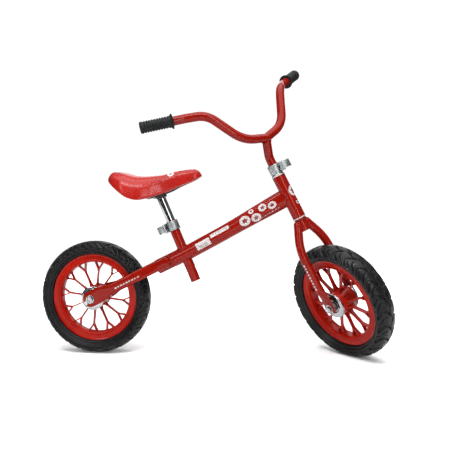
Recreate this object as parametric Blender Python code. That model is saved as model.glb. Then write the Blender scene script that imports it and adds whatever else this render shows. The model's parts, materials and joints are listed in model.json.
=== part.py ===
"""Twelve-inch balance bike: one-tube frame, steered fork and bars, spoked moulded wheels.

Metres, +Z up, +X to the front, +Y to the rider's left. The origin is on the ground under the middle
of the bike's outer box. The frame is laid out from the ground point under the rear axle. The steered
group is laid out in its own axes: u forward, v to the left and w up along the steering axis.
"""
import bpy
import bmesh
from math import acos, asin, cos, pi, radians, sin, sqrt, tan
from mathutils import Matrix, Vector

MM = 0.001
GAP = 0.3 * MM

# Facets round the large and the small turned pieces
WHEEL_SEGMENTS = 36
HUB_SEGMENTS = 20
TUBE_SEGMENTS = 20
SMALL_SEGMENTS = 12
BLADE_COPE_SEGMENTS = 22

# Layout
BOX_MIDDLE = Vector((308.5, 36.3, 0.0)) * MM
STEER_GROUND_X = 713.2 * MM
HEAD_LEAN = radians(25.9)
STEER_TURN = radians(46.7)
SEAT_LEAN = radians(21.9)
SEAT_TUBE_FOOT = Vector((273.0, 0.0, 193.0)) * MM

# Wheels
TYRE_RADIUS = 149.0 * MM
TYRE_HALF_WIDTH = 29.5 * MM
TYRE_SHOULDER_DROP = 12.6 * MM
RIM_RADIUS = 115.0 * MM
RIM_HALF_WIDTH = 15.6 * MM
RIM_CHANNEL_DEPTH = 5.5 * MM
RIM_CHANNEL_HALF_WIDTH = 12.6 * MM
RIM_HOLE_RADIUS = 93.0 * MM
RIM_LIP_RADIUS = 97.5 * MM
SPOKE_COUNT = 12
SPOKE_FORK_RADIUS = 74.0 * MM
SPOKE_FORK_ANGLE = radians(7.0)
SPOKE_THICKNESS = 2.4 * MM
SPOKE_WIDTH = 10.0 * MM
REAR_SPOKE_PHASE = radians(-7.2)
FRONT_SPOKE_PHASE = radians(-3.0)
HUB_RADIUS = 29.5 * MM
HUB_HALF_LENGTH = 28.5 * MM
HUB_DISC_RADIUS = 31.0 * MM
HUB_DISC_HOLE = 17.5 * MM
BEARING_RADIUS = 15.0 * MM
BEARING_WIDTH = 8.0 * MM
AXLE_RADIUS = 4.75 * MM
AXLE_HALF_LENGTH = 54.0 * MM
DROPOUT_INNER = 40.3 * MM
DROPOUT_THICKNESS = 4.4 * MM
WASHER_THICKNESS = 1.6 * MM
WASHER_RADIUS = 11.0 * MM
NUT_THICKNESS = 6.4 * MM
NUT_FLATS = 15.0 * MM

# Frame tubes
MAIN_TUBE_PATH = ((174.0, 229.0), (262.0, 270.7), (350.0, 317.0), (430.0, 361.5), (521.0, 411.5))
MAIN_TUBE_RADIUS = 19.0 * MM
MAIN_TUBE_FRONT_HALF_HEIGHT = 23.0 * MM
MAIN_TUBE_FRONT_HALF_WIDTH = 14.5 * MM
MAIN_TUBE_WALL = 1.8 * MM
HEAD_TUBE_RADIUS = 16.5 * MM
HEAD_TUBE_BORE = 14.2 * MM
HEAD_TUBE_LOW = 394.7 * MM
HEAD_TUBE_TOP = 509.0 * MM
SEAT_TUBE_RADIUS = 12.7 * MM
SEAT_TUBE_BORE = 11.4 * MM
SEAT_TUBE_LENGTH = 168.0 * MM
STAY_SLOPE = radians(25.7)
STAY_HALF_HEIGHT = 14.0 * MM
STAY_HALF_THICKNESS = 6.0 * MM
STAY_DROPOUT_RADIUS = 20.5 * MM
STAY_FRONT_REACH = 231.0 * MM

# Fork and headset
STEERER_RADIUS = 12.7 * MM
STEERER_BORE = 11.4 * MM
STEERER_LOW = 357.5 * MM
STEERER_TOP = 543.0 * MM
BLADE_RADIUS = 10.4 * MM
BLADE_SPREAD = 46.3 * MM
BLADE_TOP = Vector((0.0, 14.0, 380.0)) * MM
BLADE_SHOULDER = 320.0 * MM
FORK_DROPOUT_RADIUS = 16.0 * MM
HEADSET_RADIUS = 18.2 * MM

# Handlebar: half of the bar's bend points, as u, v, w, with the bend radius at each inner one
BAR_BENDS = ((23.5, 0.0, 607.0, 15.0), (23.5, 67.0, 623.0, 80.0), (13.5, 124.0, 713.0, 60.0),
             (-14.0, 165.0, 728.5, 40.0), (-53.5, 261.0, 751.5, 0.0))
BAR_RADIUS = 11.1 * MM
BAR_WALL = 1.6 * MM
GRIP_RADIUS = 14.4 * MM
GRIP_FLANGE_RADIUS = 18.5 * MM
GRIP_LENGTH = 79.0 * MM
GRIP_CAP = 3.0 * MM
STEM_FOOT = 450.0 * MM
STEM_BEND = 562.0 * MM

# Quick-release clamps
CLAMP_HEIGHT = 24.0 * MM
CLAMP_RADIUS = 16.2 * MM
EAR_REACH = 25.0 * MM
EAR_HALF_GAP = 1.5 * MM
EAR_HALF_WIDTH = 5.0 * MM
CLAMP_BOLT_X = 20.5 * MM
CLAMP_BOLT_RADIUS = 2.5 * MM
LEVER_PIN_Y = 13.5 * MM
LEVER_PIN_RADIUS = 3.2 * MM
LEVER_BOSS_RADIUS = 6.5 * MM
LEVER_BOW_RADIUS = 20.5 * MM
LEVER_THICKNESS = 3.2 * MM
LEVER_HALF_HEIGHT = 9.5 * MM
SEAT_CLAMP_LOW = 142.5 * MM
BAR_CLAMP_LOW = 516.7 * MM
BAR_CLAMP_EAR_ANGLE = radians(40.0)

# Seat post and saddle
POST_RADIUS = 11.1 * MM
POST_BORE = 9.6 * MM
POST_FOOT = 66.0 * MM
POST_TOP = 244.0 * MM
SADDLE_PIVOT = Vector((160.0, 0.0, 413.0)) * MM
BLOCK_HALF_WIDTH = 14.0 * MM
CUP_INNER = 25.3 * MM
CUP_OUTER = 31.0 * MM
CUP_RADIUS = 9.0 * MM
RAIL_RADIUS = 3.4 * MM
RAIL_SPREAD = 21.5 * MM
RAIL_HEIGHT = 421.5
SADDLE_REAR_X = 47.5 * MM
PAD_THICKNESS = 8.0 * MM
SHELL_THICKNESS = 3.0 * MM

# Saddle lines: distance from the tail, then height of the top, height of the skirt's edge, half width
SADDLE_TOP = ((0, 464), (16, 478), (40, 476.5), (77, 467), (102, 465.6), (146, 468.5), (195, 478.7),
              (228, 481), (240, 476), (247, 466))
SADDLE_SKIRT = ((0, 460), (27, 445), (43, 426), (66, 412), (90, 406.5), (118, 411.5), (160, 424),
                (190, 437.5), (230, 454), (247, 463))
SADDLE_HALF_WIDTH = ((0, 12), (8, 30), (27, 50), (55, 61), (85, 62), (120, 50), (150, 35), (190, 23),
                     (228, 18), (240, 12), (247, 4))


# ---------------------------------------------------------------- materials

def material(name, colour, roughness, metallic=0.0):
    made = bpy.data.materials.new(name)
    made.use_nodes = True
    shader = made.node_tree.nodes["Principled BSDF"]
    shader.inputs["Base Color"].default_value = (*colour, 1.0)
    shader.inputs["Roughness"].default_value = roughness
    shader.inputs["Metallic"].default_value = metallic
    return made


# ---------------------------------------------------------------- shape helpers

def turned(profile, segments=TUBE_SEGMENTS, axis="Z"):
    """Closed solid of revolution from a closed outline of (radius, height) points."""
    bm = bmesh.new()
    rings = []
    for radius, height in profile:
        if radius < 1e-6:
            rings.append([bm.verts.new(turned_point(0.0, height, 0.0, axis))])
            continue
        rings.append([bm.verts.new(turned_point(radius, height, 2 * pi * k / segments, axis))
                      for k in range(segments)])
    for ring, after in zip(rings, rings[1:] + rings[:1]):
        if len(ring) == 1 and len(after) == 1:
            continue
        for k in range(segments):
            corners = [ring[k % len(ring)], ring[(k + 1) % len(ring)],
                       after[(k + 1) % len(after)], after[k % len(after)]]
            unique = [v for n, v in enumerate(corners) if v not in corners[:n]]
            bm.faces.new(unique)
    return facing_out(bm)


def turned_point(radius, height, angle, axis):
    if axis == "Y":
        return Vector((radius * sin(angle), height, -radius * cos(angle)))
    return Vector((radius * cos(angle), radius * sin(angle), height))


def pipe(bore, radius, low, high, segments=TUBE_SEGMENTS, axis="Z"):
    return turned([(bore, low), (radius, low), (radius, high), (bore, high)], segments, axis)


def rod(radius, low, high, segments=TUBE_SEGMENTS, axis="Z", chamfer=0.0):
    outline = [(0.0, low), (radius - chamfer, low), (radius, low + chamfer),
               (radius, high - chamfer), (radius - chamfer, high), (0.0, high)]
    if chamfer == 0.0:
        outline = [(0.0, low), (radius, low), (radius, high), (0.0, high)]
    return turned(outline, segments, axis)


def lofted(loops):
    """Closed solid through loops of equally many points, with a flat cap at each end."""
    bm = bmesh.new()
    rings = [[bm.verts.new(point) for point in loop] for loop in loops]
    for ring, after in zip(rings, rings[1:]):
        for k in range(len(ring)):
            m = (k + 1) % len(ring)
            bm.faces.new((ring[k], ring[m], after[m], after[k]))
    bm.faces.new(rings[0])
    bm.faces.new(rings[-1])
    return facing_out(bm)


def hollow_lofted(outer, inner):
    """Open-ended tube wall between two lofts of equally many loops and points."""
    bm = bmesh.new()
    outside = [[bm.verts.new(point) for point in loop] for loop in outer]
    inside = [[bm.verts.new(point) for point in loop] for loop in inner]
    count = len(outside[0])
    for wall in (outside, inside):
        for ring, after in zip(wall, wall[1:]):
            for k in range(count):
                m = (k + 1) % count
                bm.faces.new((ring[k], ring[m], after[m], after[k]))
    for end in (0, -1):
        for k in range(count):
            m = (k + 1) % count
            bm.faces.new((outside[end][k], outside[end][m], inside[end][m], inside[end][k]))
    return facing_out(bm)


def extruded(outline, low, high, plane="XY"):
    """Closed prism from a flat outline, along Z or, for an outline in X and Z, along Y."""
    def lifted(point, height):
        if plane == "XZ":
            return Vector((point[0], height, point[1]))
        return Vector((point[0], point[1], height))
    return lofted([[lifted(p, low) for p in outline], [lifted(p, high) for p in outline]])


def facing_out(bm):
    bmesh.ops.recalc_face_normals(bm, faces=bm.faces)
    return bm


def joined(*parts):
    """One mesh that holds several closed bodies side by side."""
    whole = bmesh.new()
    for part in parts:
        scratch = bpy.data.meshes.new("scratch")
        part.to_mesh(scratch)
        part.free()
        whole.from_mesh(scratch)
        bpy.data.meshes.remove(scratch)
    return whole


def arc(centre, radius, start, end, steps):
    return [(centre[0] + radius * cos(start + (end - start) * k / steps),
             centre[1] + radius * sin(start + (end - start) * k / steps)) for k in range(steps + 1)]


def rounded_path(points, radii, steps=6):
    """A polyline with an arc of the given radius in place of each inner corner."""
    path = [points[0]]
    for before, corner, after, radius in zip(points, points[1:], points[2:], radii):
        back = (before - corner).normalized()
        ahead = (after - corner).normalized()
        angle = acos(max(-1.0, min(1.0, back.dot(ahead))))
        setback = radius / tan(angle / 2)
        centre = corner + (back + ahead).normalized() * (radius / sin(angle / 2))
        start = corner + back * setback - centre
        end = corner + ahead * setback - centre
        sweep = pi - angle
        for k in range(steps + 1):
            share = k / steps
            blend = (sin((1 - share) * sweep) * start + sin(share * sweep) * end) / sin(sweep)
            path.append(centre + blend)
    path.append(points[-1])
    return path


def section(centre, tangent, side, half_side, half_other, sides=16, power=2.0):
    """An oval loop round a path point: half_side along side, half_other across it."""
    side = (side - tangent * side.dot(tangent)).normalized()
    other = tangent.cross(side)
    loop = []
    for k in range(sides):
        angle = 2 * pi * k / sides
        c, s = cos(angle), sin(angle)
        a = half_side * abs(c) ** (2 / power) * (1 if c > 0 else -1)
        b = half_other * abs(s) ** (2 / power) * (1 if s > 0 else -1)
        loop.append(centre + side * a + other * b)
    return loop


def tangents(path):
    result = []
    for k in range(len(path)):
        before = path[max(k - 1, 0)]
        after = path[min(k + 1, len(path) - 1)]
        result.append((after - before).normalized())
    return result


def swept(path, sizes, side, sides=16, power=2.0):
    """Solid tube along a path; sizes gives (half_side, half_other) at each point."""
    return lofted([section(point, tangent, side, size[0], size[1], sides, power)
                   for point, tangent, size in zip(path, tangents(path), sizes)])


def eased(value, low, high):
    share = max(0.0, min(1.0, (value - low) / (high - low)))
    return share * share * (3 - 2 * share)


def smooth_line(points, x):
    """Height at x of a smooth curve through (x, height) points."""
    xs = [p[0] for p in points]
    ys = [p[1] for p in points]
    last = len(xs) - 1
    n = next(k for k in range(last) if x <= xs[k + 1] or k == last - 1)

    def slope(k):
        if k in (0, last):
            return (ys[min(k + 1, last)] - ys[max(k - 1, 0)]) / (xs[min(k + 1, last)] - xs[max(k - 1, 0)])
        before = (ys[k] - ys[k - 1]) / (xs[k] - xs[k - 1])
        after = (ys[k + 1] - ys[k]) / (xs[k + 1] - xs[k])
        return 0.0 if before * after <= 0 else 2 * before * after / (before + after)

    width = xs[n + 1] - xs[n]
    t = (x - xs[n]) / width
    return ((2 * t ** 3 - 3 * t ** 2 + 1) * ys[n] + (t ** 3 - 2 * t ** 2 + t) * width * slope(n)
            + (-2 * t ** 3 + 3 * t ** 2) * ys[n + 1] + (t ** 3 - t ** 2) * width * slope(n + 1))


# ---------------------------------------------------------------- scene helpers

def clear_scene():
    for old in list(bpy.data.objects):
        bpy.data.objects.remove(old, do_unlink=True)


def empty(name, parent=None, place=Vector((0, 0, 0)), turn=Matrix.Identity(3)):
    made = bpy.data.objects.new(name, None)
    made.empty_display_size = 20 * MM
    bpy.context.scene.collection.objects.link(made)
    made.parent = parent
    made.matrix_local = Matrix.Translation(place) @ turn.to_4x4()
    return made


def piece(name, bm, finish, parent, sharp=radians(35)):
    mesh = bpy.data.meshes.new(name)
    bm.to_mesh(mesh)
    bm.free()
    mesh.materials.append(finish)
    mesh.shade_smooth()
    mesh.set_sharp_from_angle(angle=sharp)
    made = bpy.data.objects.new(name, mesh)
    bpy.context.scene.collection.objects.link(made)
    made.parent = parent
    return made


def boolean(target, bm, operation="DIFFERENCE", turn=Matrix.Identity(4)):
    """Cut a shape from the target, or add it, with the shape placed in the target's own axes."""
    mesh = bpy.data.meshes.new(target.name + ".shape")
    bm.to_mesh(mesh)
    bm.free()
    mesh.transform(turn)
    shape = bpy.data.objects.new(target.name + ".shape", mesh)
    bpy.context.scene.collection.objects.link(shape)
    shape.parent = target.parent
    shape.hide_render = True
    shape.display_type = "WIRE"
    modifier = target.modifiers.new(operation.lower(), "BOOLEAN")
    modifier.operation = operation
    modifier.solver = "EXACT"
    modifier.object = shape


def along(direction, place):
    """Placement that turns a shape's Z axis to a direction and moves it to a place."""
    turn = Vector((0, 0, 1)).rotation_difference(direction).to_matrix().to_4x4()
    return Matrix.Translation(place) @ turn


# ---------------------------------------------------------------- wheels

def tyre_crown(offset):
    """Radius of the tread surface at a sideways offset from the middle."""
    return TYRE_RADIUS - TYRE_SHOULDER_DROP * (abs(offset) / TYRE_HALF_WIDTH) ** 2.5


def tyre_side_profile():
    """One side of the tyre's outline, from the rim channel out to the edge of the tread."""
    seat = RIM_RADIUS - RIM_CHANNEL_DEPTH + GAP
    return [(seat, RIM_CHANNEL_HALF_WIDTH - GAP), (RIM_RADIUS + GAP, RIM_CHANNEL_HALF_WIDTH - GAP),
            (RIM_RADIUS + GAP, RIM_HALF_WIDTH + 0.8 * MM), (121 * MM, 22.6 * MM), (130 * MM, 28.2 * MM)]


def tyre():
    side = tyre_side_profile()
    crown = [TYRE_HALF_WIDTH * share for share in (-1, -0.8, -0.45, 0, 0.45, 0.8, 1)]
    outline = [(r, -a) for r, a in side] + [(tyre_crown(a), a) for a in crown] + side[::-1]
    return turned(outline, WHEEL_SEGMENTS, "Y")


def wheel_rings():
    """The rim ring and the hub barrel, before the spokes join them."""
    channel = RIM_RADIUS - RIM_CHANNEL_DEPTH
    half = [(RIM_HOLE_RADIUS, 6 * MM), (RIM_LIP_RADIUS, 12.5 * MM), (RIM_RADIUS, RIM_HALF_WIDTH),
            (RIM_RADIUS, RIM_CHANNEL_HALF_WIDTH), (channel, RIM_CHANNEL_HALF_WIDTH)]
    rim = half + [(r, -a) for r, a in half[::-1]]
    seat = BEARING_RADIUS + GAP
    step = HUB_HALF_LENGTH - BEARING_WIDTH - 2 * GAP
    half_hub = [(HUB_RADIUS, HUB_HALF_LENGTH), (seat, HUB_HALF_LENGTH), (seat, step), (11 * MM, step)]
    hub = half_hub + [(r, -a) for r, a in half_hub[::-1]]
    return joined(turned(rim, WHEEL_SEGMENTS, "Y"), turned(hub, HUB_SEGMENTS, "Y"))


def forked_spoke(angle):
    """A thin spoke that splits in two before the rim, as a prism along the axle."""
    half = SPOKE_THICKNESS / 2
    reach = 96 * MM
    tip = Vector((reach * cos(SPOKE_FORK_ANGLE), reach * sin(SPOKE_FORK_ANGLE)))
    root = Vector((SPOKE_FORK_RADIUS, 0.0))
    run = (tip - root).normalized()
    across = Vector((-run.y, run.x)) * half
    outer_join = root + across + run * ((half - across.y) / run.y)
    crotch = root - across + run * (across.y / run.y)
    upper = [Vector((27 * MM, half)), outer_join, tip + across, tip - across]
    outline = upper + [crotch] + [Vector((p.x, -p.y)) for p in upper[::-1]]
    turn = Matrix.Rotation(angle, 2)
    return extruded([turn @ p for p in outline], -SPOKE_WIDTH / 2, SPOKE_WIDTH / 2, "XZ")


def hub_disc(side):
    face = HUB_HALF_LENGTH + GAP
    outline = [(HUB_DISC_RADIUS, face - 2.8 * MM), (HUB_DISC_RADIUS, face + 1.6 * MM),
               (HUB_DISC_HOLE, face + 2.8 * MM), (HUB_DISC_HOLE, face), (HUB_RADIUS + GAP, face),
               (HUB_RADIUS + GAP, face - 2.8 * MM)]
    return turned([(r, a * side) for r, a in outline], HUB_SEGMENTS, "Y")


def wheel(name, hub_empty, phase, finishes):
    piece(name + "_tyre", tyre(), finishes["tyre"], hub_empty)
    moulding = piece(name + "_wheel", wheel_rings(), finishes["wheel"], hub_empty)
    spokes = joined(*[forked_spoke(phase + 2 * pi * k / SPOKE_COUNT) for k in range(SPOKE_COUNT)])
    boolean(moulding, spokes, "UNION")
    for hand, side in (("right", -1), ("left", 1)):
        outer = (HUB_HALF_LENGTH - GAP) * side
        inner = outer - BEARING_WIDTH * side
        bearing = pipe(AXLE_RADIUS + GAP, BEARING_RADIUS, min(inner, outer), max(inner, outer),
                       HUB_SEGMENTS, "Y")
        piece(f"{name}_bearing_{hand}", bearing, finishes["steel"], hub_empty)
        piece(f"{name}_hub_disc_{hand}", hub_disc(side), finishes["chrome"], hub_empty)


def hex_nut(low, high, side):
    """Chamfered axle nut on the Y axis, from low to high on the given side."""
    segments = 12
    loops = []
    outer_high = high - 1.0 * MM
    for height, shrink in ((low, 0.0), (outer_high, 0.0), (high, 1.0)):
        loop = []
        for k in range(segments):
            angle = 2 * pi * k / segments
            corner = NUT_FLATS / 2 / cos((angle + pi / 6) % (pi / 3) - pi / 6)
            radius = min(corner, NUT_FLATS / 2) if shrink else corner
            loop.append(turned_point(radius, height * side, angle, "Y"))
        loops.append(loop)
    bore = AXLE_RADIUS + GAP
    inner = [[turned_point(bore, h * side, 2 * pi * k / segments, "Y") for k in range(segments)]
             for h in (low, outer_high, high)]
    return hollow_lofted(loops, inner)


def axle_set(name, place, finishes):
    """Axle, spacers, washers and nuts, which stay with the frame or the fork."""
    shaft = rod(AXLE_RADIUS, -AXLE_HALF_LENGTH, AXLE_HALF_LENGTH, SMALL_SEGMENTS, "Y", 1.0 * MM)
    piece(name + "_axle", shaft, finishes["steel"], place)
    bore = AXLE_RADIUS + GAP
    washer_low = DROPOUT_INNER + DROPOUT_THICKNESS + GAP
    washer_high = washer_low + WASHER_THICKNESS
    for hand, side in (("right", -1), ("left", 1)):
        spacer = turned([(bore, HUB_HALF_LENGTH * side), (8.5 * MM, HUB_HALF_LENGTH * side),
                         (8.5 * MM, (DROPOUT_INNER - GAP) * side), (bore, (DROPOUT_INNER - GAP) * side)],
                        SMALL_SEGMENTS, "Y")
        piece(f"{name}_axle_spacer_{hand}", spacer, finishes["steel"], place)
        washer = turned([(bore, washer_low * side), (WASHER_RADIUS, washer_low * side),
                         (WASHER_RADIUS, washer_high * side), (bore, washer_high * side)],
                        SMALL_SEGMENTS, "Y")
        piece(f"{name}_axle_washer_{hand}", washer, finishes["chrome"], place)
        nut = hex_nut(washer_high + GAP, washer_high + GAP + NUT_THICKNESS, side)
        piece(f"{name}_axle_nut_{hand}", nut, finishes["chrome"], place)


# ---------------------------------------------------------------- frame

def head_direction():
    return Vector((-sin(HEAD_LEAN), 0.0, cos(HEAD_LEAN)))


def seat_direction():
    return Vector((-sin(SEAT_LEAN), 0.0, cos(SEAT_LEAN)))


def main_tube(finish, frame):
    corners = [Vector((x * MM, 0.0, z * MM)) for x, z in MAIN_TUBE_PATH]
    path = rounded_path(corners, [300 * MM] * (len(corners) - 2), 1)
    side = Vector((0, 1, 0))
    outer, inner = [], []
    start, end = corners[2].x, corners[-1].x
    for point, tangent in zip(path, tangents(path)):
        oval = eased(point.x, start, end)
        width = MAIN_TUBE_RADIUS + (MAIN_TUBE_FRONT_HALF_WIDTH - MAIN_TUBE_RADIUS) * oval
        height = MAIN_TUBE_RADIUS + (MAIN_TUBE_FRONT_HALF_HEIGHT - MAIN_TUBE_RADIUS) * oval
        outer.append(section(point, tangent, side, width, height, 16))
        inner.append(section(point, tangent, side, width - MAIN_TUBE_WALL, height - MAIN_TUBE_WALL, 16))
    tube = piece("main_tube", hollow_lofted(outer, inner), finish, frame)
    seat_cut = rod(SEAT_TUBE_RADIUS + GAP, -20 * MM, SEAT_TUBE_LENGTH)
    boolean(tube, seat_cut, "DIFFERENCE", along(seat_direction(), SEAT_TUBE_FOOT))
    head_cut = rod(HEAD_TUBE_RADIUS + GAP, 300 * MM, 560 * MM)
    foot = Vector((STEER_GROUND_X, 0.0, 0.0))
    boolean(tube, head_cut, "DIFFERENCE", along(head_direction(), foot))


def stay(hand, side, finish, frame):
    """Flat-sided stay from the main tube's side back to the slotted dropout."""
    run = Vector((cos(STAY_SLOPE), 0.0, sin(STAY_SLOPE)))
    axle = Vector((0.0, 0.0, TYRE_RADIUS))
    plate = DROPOUT_INNER + DROPOUT_THICKNESS / 2
    beside_tube = MAIN_TUBE_RADIUS + STAY_HALF_THICKNESS + 2 * GAP
    stations = ((STAY_FRONT_REACH, beside_tube), (190 * MM, beside_tube), (128 * MM, 41.5 * MM),
                (50 * MM, plate), (STAY_DROPOUT_RADIUS, plate))
    corners = [axle + run * reach + Vector((0, spread * side, 0)) for reach, spread in stations]
    path = rounded_path(corners, [70 * MM, 70 * MM, 70 * MM], 2)
    ends = [0.0, 8.0, 14.5, 18.5, 20.2]
    path += [axle - run * (d * MM) + Vector((0, plate * side, 0)) for d in ends]
    sizes = []
    for point in path:
        reach = (point - axle).dot(run)
        flat = 1.0 - eased(reach, 22 * MM, 62 * MM)
        half_height = STAY_HALF_HEIGHT + (STAY_DROPOUT_RADIUS - STAY_HALF_HEIGHT) * flat
        half_thick = STAY_HALF_THICKNESS + (DROPOUT_THICKNESS / 2 - STAY_HALF_THICKNESS) * flat
        if reach < 0:
            half_height = sqrt(STAY_DROPOUT_RADIUS ** 2 - reach ** 2)
        front = max(0.0, reach - (STAY_FRONT_REACH - 10 * MM)) / (10 * MM)
        sizes.append((half_thick, half_height * sqrt(1 - 0.85 * front ** 2)))
    body = piece("stay_" + hand, swept(path, sizes, Vector((0, 1, 0)), 12, 3.4), finish, frame)
    slot_angle = radians(220)
    boolean(body, axle_slot(slot_angle, axle, side), "DIFFERENCE")


def axle_slot(angle, centre, side):
    """Open slot for the axle, running out from its centre at an angle in the XZ plane."""
    half = AXLE_RADIUS + GAP
    outline = arc((0, 0), half, pi / 2, 3 * pi / 2, 12)
    outline = [(-x, z) for x, z in outline]
    outline = [(-40 * MM, half)] + outline + [(-40 * MM, -half)]
    turn = Matrix.Rotation(-(angle - pi), 2)
    placed = [turn.inverted() @ Vector(p) for p in outline]
    near = (DROPOUT_INNER - 8 * MM) * side
    far = (DROPOUT_INNER + 14 * MM) * side
    slot = extruded(placed, min(near, far), max(near, far), "XZ")
    bmesh.ops.translate(slot, verts=slot.verts, vec=centre)
    return slot


def seat_tube(finish, seat):
    tube = piece("seat_tube", pipe(SEAT_TUBE_BORE, SEAT_TUBE_RADIUS, 0.0, SEAT_TUBE_LENGTH), finish, seat)
    slit = extruded([(-20 * MM, -1 * MM), (0, -1 * MM), (0, 1 * MM), (-20 * MM, 1 * MM)],
                    SEAT_TUBE_LENGTH - 32 * MM, SEAT_TUBE_LENGTH + 5 * MM)
    boolean(tube, slit)


def frame_pieces(frame, seat, head, finishes):
    main_tube(finishes["frame"], frame)
    seat_tube(finishes["frame"], seat)
    piece("head_tube", pipe(HEAD_TUBE_BORE, HEAD_TUBE_RADIUS, HEAD_TUBE_LOW, HEAD_TUBE_TOP),
          finishes["frame"], head)
    for hand, side in (("right", -1), ("left", 1)):
        stay(hand, side, finishes["frame"], frame)
    bore = STEERER_RADIUS + GAP
    piece("headset_lower_cup", pipe(bore, HEADSET_RADIUS, HEAD_TUBE_LOW - 3.6 * MM, HEAD_TUBE_LOW - GAP),
          finishes["headset"], head)
    piece("headset_top_cup", pipe(bore, HEADSET_RADIUS, HEAD_TUBE_TOP + GAP, HEAD_TUBE_TOP + 3.3 * MM),
          finishes["headset"], head)


# ---------------------------------------------------------------- quick-release clamps

def clamp_outline():
    """Split collar with two ears, seen along the tube, with the ears toward +X."""
    bore = SEAT_TUBE_RADIUS + GAP
    inner_angle = asin(EAR_HALF_GAP / bore)
    outer_angle = asin(EAR_HALF_WIDTH / CLAMP_RADIUS)
    outer = arc((0, 0), CLAMP_RADIUS, outer_angle, 2 * pi - outer_angle, 20)
    inner = arc((0, 0), bore, 2 * pi - inner_angle, inner_angle, 20)
    return ([(EAR_REACH, EAR_HALF_GAP), (EAR_REACH, EAR_HALF_WIDTH)] + outer
            + [(EAR_REACH, -EAR_HALF_WIDTH), (EAR_REACH, -EAR_HALF_GAP)] + inner)


def lever_outline():
    """Lever seen along its pin: a round boss and a bowed paddle that wraps the ears' ends."""
    bow = (CLAMP_BOLT_X + 1.0 * MM, 0.0)
    outer = arc(bow, LEVER_BOW_RADIUS, radians(-12), radians(84), 8)
    inner = arc(bow, LEVER_BOW_RADIUS - LEVER_THICKNESS, radians(50), radians(-12), 5)
    boss = arc((CLAMP_BOLT_X, LEVER_PIN_Y), LEVER_BOSS_RADIUS, radians(110), radians(330), 8)
    return outer + boss + inner


def clamp(name, place, low, finishes):
    """Collar, T-bolt and nut in the clamp's own axes, with the lever on an empty at its pin."""
    middle = low + CLAMP_HEIGHT / 2
    collar = piece(name + "_collar", extruded(clamp_outline(), low, low + CLAMP_HEIGHT),
                   finishes["clamp"], place)
    across = Matrix.Translation((CLAMP_BOLT_X, 0, middle)) @ Matrix.Rotation(-pi / 2, 4, "X")
    boolean(collar, rod(CLAMP_BOLT_RADIUS + GAP, -20 * MM, 20 * MM, 12), "DIFFERENCE", across)

    bolt_low, bolt_high = -12.5 * MM, LEVER_PIN_Y
    shaft = rod(CLAMP_BOLT_RADIUS, bolt_low, bolt_high, 12)
    shaft.transform(across)
    bolt = piece(name + "_bolt", shaft, finishes["steel"], place)
    barrel = rod(LEVER_PIN_RADIUS, middle - LEVER_HALF_HEIGHT, middle + LEVER_HALF_HEIGHT, 12)
    boolean(bolt, barrel, "UNION", Matrix.Translation((CLAMP_BOLT_X, LEVER_PIN_Y, 0)))

    nut = pipe(CLAMP_BOLT_RADIUS + GAP, 4.6 * MM, -EAR_HALF_WIDTH - GAP - 5.5 * MM, -EAR_HALF_WIDTH - GAP, 12)
    nut.transform(across)
    piece(name + "_nut", nut, finishes["clamp"], place)

    pin = empty(name + "_pin", place, Vector((CLAMP_BOLT_X, LEVER_PIN_Y, middle)))
    shape = extruded([(x - CLAMP_BOLT_X, y - LEVER_PIN_Y) for x, y in lever_outline()],
                     -LEVER_HALF_HEIGHT, LEVER_HALF_HEIGHT)
    lever = piece(name + "_lever", shape, finishes["clamp"], pin)
    boolean(lever, rod(LEVER_PIN_RADIUS + GAP, -20 * MM, 20 * MM, 12))
    window = CLAMP_BOLT_RADIUS + 0.6 * MM
    clear = LEVER_BOSS_RADIUS * 1.4
    swing = [(-clear, -clear), (window, -clear), (window, 0.9 * window),
             (-0.2 * clear, clear), (-clear, clear)]
    boolean(lever, extruded(swing, -window, window))


# ---------------------------------------------------------------- fork and bars

def fork_blade(hand, side, front_axle, finish, steering):
    """Round blade that leaves the steerer's side and ends in a flat slotted dropout."""
    plate = DROPOUT_INNER + DROPOUT_THICKNESS / 2
    corners = [Vector((0, BLADE_TOP.y * side, BLADE_TOP.z)), Vector((0, BLADE_SPREAD * side, BLADE_SHOULDER)),
               Vector((0, BLADE_SPREAD * side, 215 * MM)), Vector((0, plate * side, 184 * MM)),
               Vector((0, plate * side, front_axle))]
    path = rounded_path(corners, [70 * MM, 90 * MM, 60 * MM], 3)
    ends = [6.0, 10.5, 13.8, 15.8]
    path += [Vector((0, plate * side, front_axle - d * MM)) for d in ends]
    sizes = []
    for point in path:
        reach = point.z - front_axle
        flat = 1.0 - eased(reach, 17 * MM, 52 * MM)
        half_wide = BLADE_RADIUS + (FORK_DROPOUT_RADIUS - BLADE_RADIUS) * flat
        half_thick = BLADE_RADIUS + (DROPOUT_THICKNESS / 2 - BLADE_RADIUS) * flat
        if reach < 0:
            half_wide = sqrt(FORK_DROPOUT_RADIUS ** 2 - reach ** 2)
        sizes.append((half_wide, half_thick))
    blade = piece("fork_blade_" + hand, swept(path, sizes, Vector((1, 0, 0)), 12), finish, steering)
    boolean(blade, rod(STEERER_RADIUS + GAP, 300 * MM, 450 * MM, BLADE_COPE_SEGMENTS))
    centre = Vector((0, 0, front_axle))
    boolean(blade, axle_slot(radians(270), centre, side))


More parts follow.
